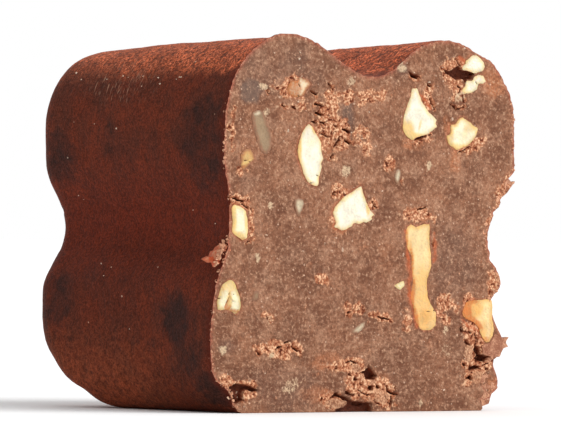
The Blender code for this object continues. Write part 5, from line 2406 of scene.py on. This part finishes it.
NUT_LOOKS: dict[str, NutLook] = {
    "nut_upper_kite": NutLook(
        NutTone.IVORY, Halo(0.14, 0.35, -0.3, -0.4),
        gold=each(
            Spot,
            (3.79, 20.98, 0.7, 0.8, 1.0), (4.59, 20.48, 1.0, 0.3, 0.8),
            (4.99, 21.38, 0.12, 0.5, 0.7, -15.0),
        ),
        outline=((4.25, 24.11), (4.75, 24.14), (4.92, 23.66), (5.22, 23.14), (6.03, 22.22), (6.64, 21.82),
            (6.54, 21.59), (6.68, 21.29), (6.3, 20.99), (5.74, 20.68), (4.73, 20.47), (4.31, 20.21),
            (3.59, 20.63), (3.38, 21.25), (3.45, 21.99), (3.74, 22.67), (4.12, 23.5)),
    ),
    "nut_upper_round": NutLook(
        NutTone.HONEY, Halo(0.22, 0.45, -0.7, 0.3),
        gold=each(
            Spot,
            (7.79, 20.48, 0.5, 0.6, 0.8), (8.59, 19.68, 1.0, 0.4, 0.7), (9.89, 21.28, 0.7, 0.4, 0.7),
            (9.29, 20.68, 0.3, 0.5, 0.4),
        ),
        outline=((8.47, 21.52), (8.71, 21.9), (9.06, 22.04), (9.48, 21.86), (10.02, 21.51), (10.6, 21.22),
            (10.41, 20.63), (10.02, 20.19), (9.53, 19.85), (8.58, 19.54), (8.18, 19.76), (7.75, 20.02),
            (7.56, 20.63), (7.94, 20.77), (7.94, 21.43)),
    ),
    "nut_lens": NutLook(
        NutTone.IVORY, Halo(0.2, 0.45, -0.8, 0.1),
        gold=each(
            Spot,
            (-6.41, 19.18, 0.3, 1.3, 0.9), (-4.91, 20.98, 0.3, 0.4, 0.9), (-5.21, 20.08, 0.6, 0.5, 0.35),
        ),
        cracks=each(Slit, (-4.76, 17.58, -4.46, 17.43, 0.1, 0.2), (-5.31, 16.93, -5.01, 16.93, 0.12, 0.2)),
        outline=((-5.45, 21.33), (-5.14, 21.16), (-4.91, 20.75), (-4.28, 19.96), (-4.24, 19.22),
            (-4.09, 18.78), (-4.28, 18.41), (-4.22, 18.05), (-4.45, 17.36), (-4.45, 16.95),
            (-4.66, 16.68), (-5.01, 16.76), (-5.54, 17.05), (-5.92, 17.71), (-6.31, 18.67),
            (-6.48, 19.25), (-6.38, 19.92), (-6.13, 20.51), (-5.77, 21.06)),
    ),
    "nut_middle_kite": NutLook(
        NutTone.IVORY, Halo(0.25, 0.45, -0.4, 0.6),
        gold=each(
            Spot,
            (0.14, 15.24, 0.2, 0.7, 0.9), (-0.21, 16.28, 0.15, 0.6, 0.8), (-2.31, 15.74, 0.5, 0.2, 0.5),
        ),
        outline=((-0.5, 16.8), (-0.3, 16.32), (0.21, 15.14), (0.79, 14.64), (0.47, 14.47), (0.57, 14.31),
            (0.01, 14.05), (-0.25, 14.12), (-0.62, 13.92), (-1.14, 14.02), (-1.43, 13.73), (-2.24, 13.4),
            (-2.61, 13.56), (-3.06, 13.7), (-2.82, 14.03), (-3.16, 14.74), (-2.99, 15.14), (-2.26, 15.89),
            (-1.23, 16.39)),
    ),
    "nut_long_strip": NutLook(
        NutTone.GOLDEN, Halo(0.2, 0.4, -0.6, 0.0),
        gold=each(
            Spot,
            (5.29, 8.64, 1.1, 2.4, 0.7), (5.89, 6.74, 0.9, 0.8, 0.5), (4.19, 12.04, 0.2, 0.9, 0.7),
        ),
        brown=each(
            Spot,
            (3.79, 12.74, 0.2, 1.0, 0.8), (4.29, 10.94, 0.22, 1.3, 0.9),
            (4.39, 8.64, 0.3, 1.3, 1.1, -8.0), (4.69, 6.84, 0.35, 1.0, 1.2, 12.0),
        ),
        cracks=each(Slit, (5.39, 7.39, 6.69, 7.54, 0.06, 0.06), (6.44, 7.54, 6.79, 7.54, 0.12, 0.15)),
        outline=((3.76, 13.52), (3.93, 13.8), (4.26, 13.99), (4.69, 13.74), (5.07, 13.88), (5.45, 14.03),
            (6.07, 13.99), (6.06, 12.42), (6.22, 11.67), (6.22, 10.84), (5.82, 9.8), (5.87, 8.6),
            (6.17, 8.07), (6.72, 7.33), (6.72, 6.88), (6.69, 6.42), (6.16, 6.03), (5.35, 6.05),
            (4.75, 6.64), (4.54, 7.78), (4.23, 8.6), (4.5, 9.57), (4.29, 10.84), (4.29, 11.58),
            (3.89, 12.22), (3.72, 12.93)),
    ),
    "nut_left_waist": NutLook(
        NutTone.CREAM, Halo(0.2, 0.5, 0.4, 0.0),
        gold=each(
            Spot,
            (-12.46, 14.24, 0.4, 1.2, 0.9), (-11.86, 12.94, 0.6, 0.4, 0.9), (-11.21, 14.24, 0.2, 0.8, 0.7),
        ),
        brown=each(
            Spot,
            (-12.66, 14.64, 0.2, 0.8, 0.9), (-11.41, 12.74, 0.3, 0.2, 0.8),
            (-11.11, 14.94, 0.3, 0.15, 0.8),
        ),
        outline=((-12.56, 15.02), (-12.36, 15.3), (-12.09, 15.26), (-11.63, 15.13), (-11.2, 14.85),
            (-11.05, 14.16), (-11.0, 13.43), (-11.1, 12.84), (-11.51, 12.64), (-11.91, 12.91),
            (-12.32, 13.11), (-12.5, 13.35), (-12.41, 14.01), (-12.46, 14.67)),
    ),
    "nut_left_lower": NutLook(
        NutTone.MIXED, Halo(0.2, 0.35),
        gold=each(
            Spot,
            (-12.46, 9.34, 0.7, 0.5, 0.8), (-12.66, 8.24, 0.25, 0.6, 1.0), (-13.56, 9.04, 0.5, 0.7, 0.7),
        ),
        brown=each(
            Spot,
            (-12.76, 7.64, 0.35, 0.35, 1.0), (-12.86, 8.14, 0.12, 0.4, 0.8, -30.0),
            (-12.1, 7.5, 0.4, 0.15, 0.8), (-13.3, 9.1, 0.12, 0.5, 0.6, 25.0),
        ),
        cracks=each(
            Slit,
            (-12.61, 8.54, -13.06, 7.74, 0.12, 0.25), (-13.9, 8.39, -13.4, 8.44, 0.12, 0.25),
            (-12.62, 8.95, -12.78, 8.5, 0.07, 0.2), (-12.5, 8.3, -12.15, 8.1, 0.07, 0.2),
            (-12.36, 8.66, -12.1, 8.84, 0.05, 0.15),
        ),
        outline=((-12.7, 9.79), (-12.33, 9.72), (-12.05, 9.39), (-11.86, 8.95), (-11.64, 8.29),
            (-11.59, 7.85), (-11.69, 7.52), (-12.1, 7.29), (-12.56, 7.46), (-12.84, 7.6), (-13.4, 7.54),
            (-13.75, 7.56), (-13.8, 8.14), (-13.72, 8.54), (-13.5, 9.1), (-13.25, 9.5)),
    ),
    "nut_right_corner": NutLook(
        NutTone.GOLDEN, Halo(0.2, 0.4, -0.6, -0.3),
        gold=each(
            Spot,
            (10.1, 7.64, 1.1, 0.8, 1.1), (11.2, 6.05, 0.5, 0.8, 0.7), (12.0, 6.45, 0.2, 1.2, 0.5),
        ),
        brown=each(
            Spot,
            (9.4, 7.5, 0.7, 0.9, 1.3), (10.3, 6.64, 1.0, 0.35, 1.3, -30.0), (9.9, 8.24, 0.9, 0.25, 1.1),
            (11.6, 5.3, 0.4, 0.3, 0.7),
        ),
        outline=((11.04, 8.32), (11.53, 8.39), (12.06, 8.33), (12.17, 7.85), (12.11, 6.95), (12.34, 5.98),
            (12.18, 5.56), (11.91, 5.15), (11.62, 5.08), (11.33, 5.3), (11.04, 5.75), (10.85, 6.21),
            (10.42, 6.57), (9.88, 6.8), (9.34, 7.02), (9.19, 7.36), (9.4, 7.78), (9.65, 8.23),
            (10.27, 8.3)),
    ),
    "nut_top_right": NutLook(
        NutTone.IVORY, Halo(0.2, 0.4, -0.4, 0.4),
        gold=each(Spot, (9.31, 26.34, 0.25, 0.3, 0.7)),
        outline=((10.04, 26.71), (10.39, 26.74), (10.76, 26.54), (11.13, 26.19), (11.23, 25.86),
            (11.03, 25.53), (10.17, 25.32), (9.85, 25.45), (8.95, 25.6), (9.08, 25.9), (9.37, 26.05),
            (9.29, 26.23), (9.66, 26.46)),
    ),
    "nut_top_right_small": NutLook(
        NutTone.IVORY, Halo(0.15, 0.3),
        gold=each(Spot, (9.19, 24.08, 0.3, 0.25, 0.6)),
        cracks=each(Slit, (10.24, 24.83, 10.44, 24.53, 0.1, 0.15)),
        outline=((10.18, 25.1), (10.55, 25.26), (11.03, 25.2), (11.3, 24.73), (11.04, 24.59),
            (10.6, 24.57), (10.47, 24.11), (10.0, 23.87), (9.58, 23.78), (9.0, 23.81), (8.97, 24.07),
            (9.29, 24.34), (9.41, 24.81), (10.0, 24.8)),
    ),
    "nut_pale_sliver": NutLook(
        NutTone.CLEAR, Halo(0.2, 0.0),
        gold=each(Spot, (-10.33, 22.13, 0.4, 0.25, 1.0)),
        outline=((-10.65, 22.12), (-10.1, 22.3), (-9.66, 22.1), (-9.48, 21.68), (-9.24, 21.1),
            (-9.0, 20.48), (-8.86, 19.9), (-8.96, 19.35), (-9.4, 19.0), (-9.84, 19.18), (-10.14, 19.75),
            (-10.4, 20.36), (-10.64, 21.12), (-10.76, 21.77)),
    ),
    "nut_left_small": NutLook(
        NutTone.TAN, Halo(0.2, 0.25),
        gold=each(Spot, (-11.26, 18.4, 0.7, 0.12, 1.0, 20.0)),
        brown=each(Spot, (-11.56, 18.1, 0.3, 0.2, 0.6)),
        cracks=each(Slit, (-11.46, 18.55, -10.86, 18.45, 0.09, 0.12)),
        outline=((-11.56, 19.24), (-11.19, 19.44), (-10.82, 19.35), (-10.53, 18.96), (-10.42, 18.62),
            (-10.79, 18.39), (-11.1, 18.1), (-11.47, 17.81), (-11.66, 17.99), (-11.74, 18.5),
            (-11.81, 18.94)),
    ),
    "nut_upper_left": NutLook(
        NutTone.DULL, Halo(0.2, 0.4),
        brown=each(Spot, (-7.0, 23.9, 0.8, 0.8, 1.15)),
        cracks=each(Slit, (-6.45, 24.3, -6.25, 23.8, 0.1, 0.12), (-6.6, 23.5, -6.35, 23.25, 0.1, 0.1)),
        outline=((-7.5, 23.8), (-7.4, 24.2), (-7.05, 24.5), (-6.6, 24.5), (-6.35, 24.8), (-5.9, 24.62),
            (-5.5, 24.54), (-5.26, 24.22), (-5.6, 23.95), (-5.75, 23.7), (-5.95, 23.4), (-6.4, 23.25),
            (-6.9, 23.25), (-7.3, 23.45)),
    ),
    "nut_small_wedge": NutLook(
        NutTone.CREAM, Halo(0.15, 0.25),
        outline=((2.69, 9.37), (3.07, 9.6), (3.62, 9.78), (3.68, 9.34), (3.3, 9.04), (2.92, 9.16)),
    ),
    "nut_low_sliver": NutLook(
        NutTone.CLEAR, Halo(0.2, 0.0),
        gold=each(Spot, (-0.48, 6.25, 0.8, 0.5, 0.8)),
    ),
    "nut_faint_chip": NutLook(
        NutTone.CLEAR, Halo(0.2, 0.0),
        gold=each(Spot, (-6.2, 15.3, 0.45, 0.6, 0.75)),
        outline=((-6.75, 15.74), (-6.39, 15.85), (-5.91, 15.7), (-5.8, 15.32), (-6.03, 14.9),
            (-6.29, 14.38), (-6.49, 14.59), (-6.66, 15.01), (-6.77, 15.39)),
    ),
    "nut_pale_streak": NutLook(
        NutTone.CLEAR, Halo(0.15, 0.0),
        gold=each(Spot, (2.84, 17.68, 0.3, 0.6, 0.9)),
        outline=((2.7, 17.81), (2.95, 18.12), (3.2, 18.0), (3.28, 17.62), (3.13, 17.24), (2.97, 16.9),
            (2.74, 17.05), (2.6, 17.46)),
    ),
    "nut_low_chip": NutLook(NutTone.CLEAR, Halo(0.15, 0.0)),
}


def ring_at(obj: bpy.types.Object, placing: Placing, depth: float) -> Array:
    """Reads the closed line that one of the model's nuts has at a depth.

    Args:
        obj: The model's nut.
        placing: Turns its points into drawn millimetres.
        depth: The depth behind the cut.

    Returns:
        The line's points across and up, in order.
    """
    points = placing.drawn(obj)
    keys = [tuple(np.round(point, 2)) if abs(point[1] - depth) < 0.01 else None for point in points]
    links: dict[tuple, set] = {}
    for edge in obj.data.edges:
        start, end = (keys[number] for number in edge.vertices)
        if start and end and start != end:
            links.setdefault(start, set()).add(end)
            links.setdefault(end, set()).add(start)
    first = min(links)
    line, before, here = [first], None, first
    while True:
        ahead = next((key for key in sorted(links[here]) if key not in (before, here)), first)
        if ahead == first or ahead in line:
            break
        line.append(ahead)
        before, here = here, ahead
    return np.array([(x, z) for x, _, z in line])


# ---- Studio ----


@dataclass(frozen=True)
class View:
    """Where the camera stands, and how the bar lies in its picture."""

    azimuth: float = -38.0
    distance: float = 0.55
    roll: float = 0.5
    picture_width: int = 561
    sensor: float = 36.0
    # Size of a pixel at the cut face in millimetres, and how many pixels off the bar's middle it aims.
    pixel: float = 0.0743
    aim_left: float = 82.8
    aim_up: float = 4.6
    clip: Spread = (0.01, 100.0)

    def camera(self, low: Array, high: Array, cut: float) -> bpy.types.Object:
        """Makes the camera.

        Args:
            low: The lowest corner of the model's box.
            high: The highest corner of the model's box.
            cut: Where the cut face lies along Y, in metres.

        Returns:
            The camera.
        """
        turn = math.radians(self.azimuth)
        target = Vector((0.0, cut, (low[2] + high[2]) / 2))
        back = Vector((math.sin(turn), -math.cos(turn), 0.0))
        right = Vector((math.cos(turn), math.sin(turn), 0.0))
        aim = target - right * self.aim_left * self.pixel * MM
        aim.z += self.aim_up * self.pixel * MM
        place = target + back * self.distance
        camera = bpy.data.cameras.new("camera")
        camera.sensor_width = self.sensor
        camera.lens = self.distance / (self.pixel * MM) * self.sensor / self.picture_width
        camera.clip_start, camera.clip_end = self.clip
        obj = linked("camera", camera)
        facing = (aim - place).to_track_quat("-Z", "Y").to_matrix()
        facing = facing @ Matrix.Rotation(math.radians(self.roll), 3, "Z")
        obj.matrix_world = Matrix.Translation(place) @ facing.to_4x4()
        bpy.context.scene.camera = obj
        return obj


@dataclass(frozen=True)
class Studio:
    """White card, soft key light from the upper right and a pale room."""

    key_from: Place = (0.42, -0.62, 0.66)
    key_strength: float = 2.25
    key_angle: float = 50.0
    room: float = 0.3
    overhead: float = 0.45
    backdrop: float = 1.0
    floor_half: float = 4.0
    floor_gap: float = 0.00002
    # How far towards the backdrop, and towards the zenith, the room starts and ends to brighten.
    backdrop_edge: Spread = (0.3, 0.8)
    overhead_edge: Spread = (0.3, 0.95)

    def build(self, view: View) -> None:
        """Makes the floor, the light and the room.

        Args:
            view: The camera's view, behind which the room is bright.
        """
        mesh = bpy.data.meshes.new("floor")
        half = self.floor_half
        corners = [(-half, -half, 0), (half, -half, 0), (half, half, 0), (-half, half, 0)]
        mesh.from_pydata(corners, [], [(0, 1, 2, 3)])
        mesh.materials.append(FloorFinish().material())
        floor = linked("floor", mesh)
        floor.location.z = -self.floor_gap
        floor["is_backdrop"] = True
        key = bpy.data.lights.new("key", "SUN")
        key.energy = self.key_strength
        key.angle = math.radians(self.key_angle)
        lamp = linked("key", key)
        lamp.rotation_euler = Vector(self.key_from).to_track_quat("Z", "Y").to_euler()
        self.light_room(view)

    def light_room(self, view: View) -> None:
        """Makes the room pale, and white in the direction that the camera looks.

        Args:
            view: The camera's view.
        """
        world = bpy.data.worlds.new("room")
        world.use_nodes = True
        bpy.context.scene.world = world
        graph = Graph(world.node_tree)
        turn = math.radians(view.azimuth)
        behind = (-math.sin(turn), math.cos(turn), 0.0)
        way = graph.node("ShaderNodeTexCoord", {}, {}).outputs["Generated"]
        facing = Wire(graph, graph.vector("DOT_PRODUCT", way, behind)).between(*self.backdrop_edge)
        height = Wire(graph, graph.vector("DOT_PRODUCT", way, (0.0, 0.0, 1.0)))
        strength = facing * (self.backdrop - self.room) + self.room
        strength = strength + height.between(*self.overhead_edge) * self.overhead
        light = graph.node("ShaderNodeBackground", {}, {"Color": (1.0, 1.0, 1.0), "Strength": strength})
        graph.node("ShaderNodeOutputWorld", {}, {"Surface": light.outputs[0]})


# ---- Putting it together ----


@dataclass
class Truffle:
    """The dressed bar: ganache, nuts, crumbs and specks."""

    frame: dict[str, Any]
    nut_proud: float = 0.05
    nut_ring_depth: float = 0.1
    middle_shift: float = 0.2924
    crumb_crease: float = 24.0
    solid: str = "truffle"

    def build(self) -> list[bpy.types.Object]:
        """Makes every piece, lets it ride on the model and stand for its solid.

        Returns:
            The pieces.
        """
        placing = self.placing()
        nuts = [self.nut(name, look, placing) for name, look in NUT_LOOKS.items()]
        bar = Bar(nuts)
        outside = [SkinFinish().material(), CutFinish().material()]
        piece = bar.shape().piece("truffle_bar", placing, outside)
        pieces = [self.dressed(piece, "ganache", self.solid)]
        materials = {tone: tone.value.material() for tone in NutTone}
        for nut in nuts:
            piece = nut.shape().piece(nut.name + "_piece", placing, [materials[nut.look.tone]])
            pieces.append(self.dressed(piece, "nut_flesh", nut.name))
        piece = Crumbs().shape(bar).piece("crumbs", placing, [CrumbFinish().material()], self.crumb_crease)
        pieces.append(self.dressed(piece, "ganache"))
        piece = Specks().shape(bar).piece("specks", placing, [SpeckFinish().material()])
        pieces.append(self.dressed(piece, "nut_flesh"))
        return pieces

    def placing(self) -> Placing:
        """Works out from the model's nuts where the cut lies in its frame.

        Returns:
            What moves drawn points there.
        """
        low, high = (np.array(corner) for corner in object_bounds())
        front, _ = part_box("nut_upper_kite")
        return Placing((self.middle_shift, front.y / MM + self.nut_proud, 0.0), low, high)

    def nut(self, name: str, look: NutLook, placing: Placing) -> Nut:
        """Draws a nut from the model's one.

        Args:
            name: The model's node.
            look: How the nut looks.
            placing: Turns the model's points into drawn millimetres.

        Returns:
            The nut.
        """
        obj = self.frame["nodes"][name]
        corners = np.array(look.outline or ring_at(obj, placing, self.nut_ring_depth))
        return Nut(name, look, corners, float(placing.drawn(obj)[:, 1].max()))

    @staticmethod
    def dressed(piece: bpy.types.Object, slot: str, *nodes: str) -> bpy.types.Object:
        """Lets a piece ride on the model.

        Args:
            piece: The piece.
            slot: Not used.
            nodes: The model's nodes that it stands for.

        Returns:
            The piece.
        """
        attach(piece, ROOT)
        if nodes:
            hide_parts(*nodes)
        log.info("%s: %d faces", piece.name, len(piece.data.polygons))
        return piece


def main() -> None:
    """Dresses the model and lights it."""
    logging.basicConfig(level=logging.INFO, format="%(message)s")
    for obj in list(bpy.data.objects):
        bpy.data.objects.remove(obj)
    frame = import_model()
    model_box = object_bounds()
    low, high = (np.array(corner) for corner in model_box)
    truffle = Truffle(frame)
    pieces = truffle.build()
    log.info("%d pieces", len(pieces))
    view = View()
    view.camera(low, high, truffle.placing().shift[1] * MM)
    Studio().build(view)
    bpy.context.scene.view_settings.view_transform = "Standard"


if __name__ == "__main__":
    main()
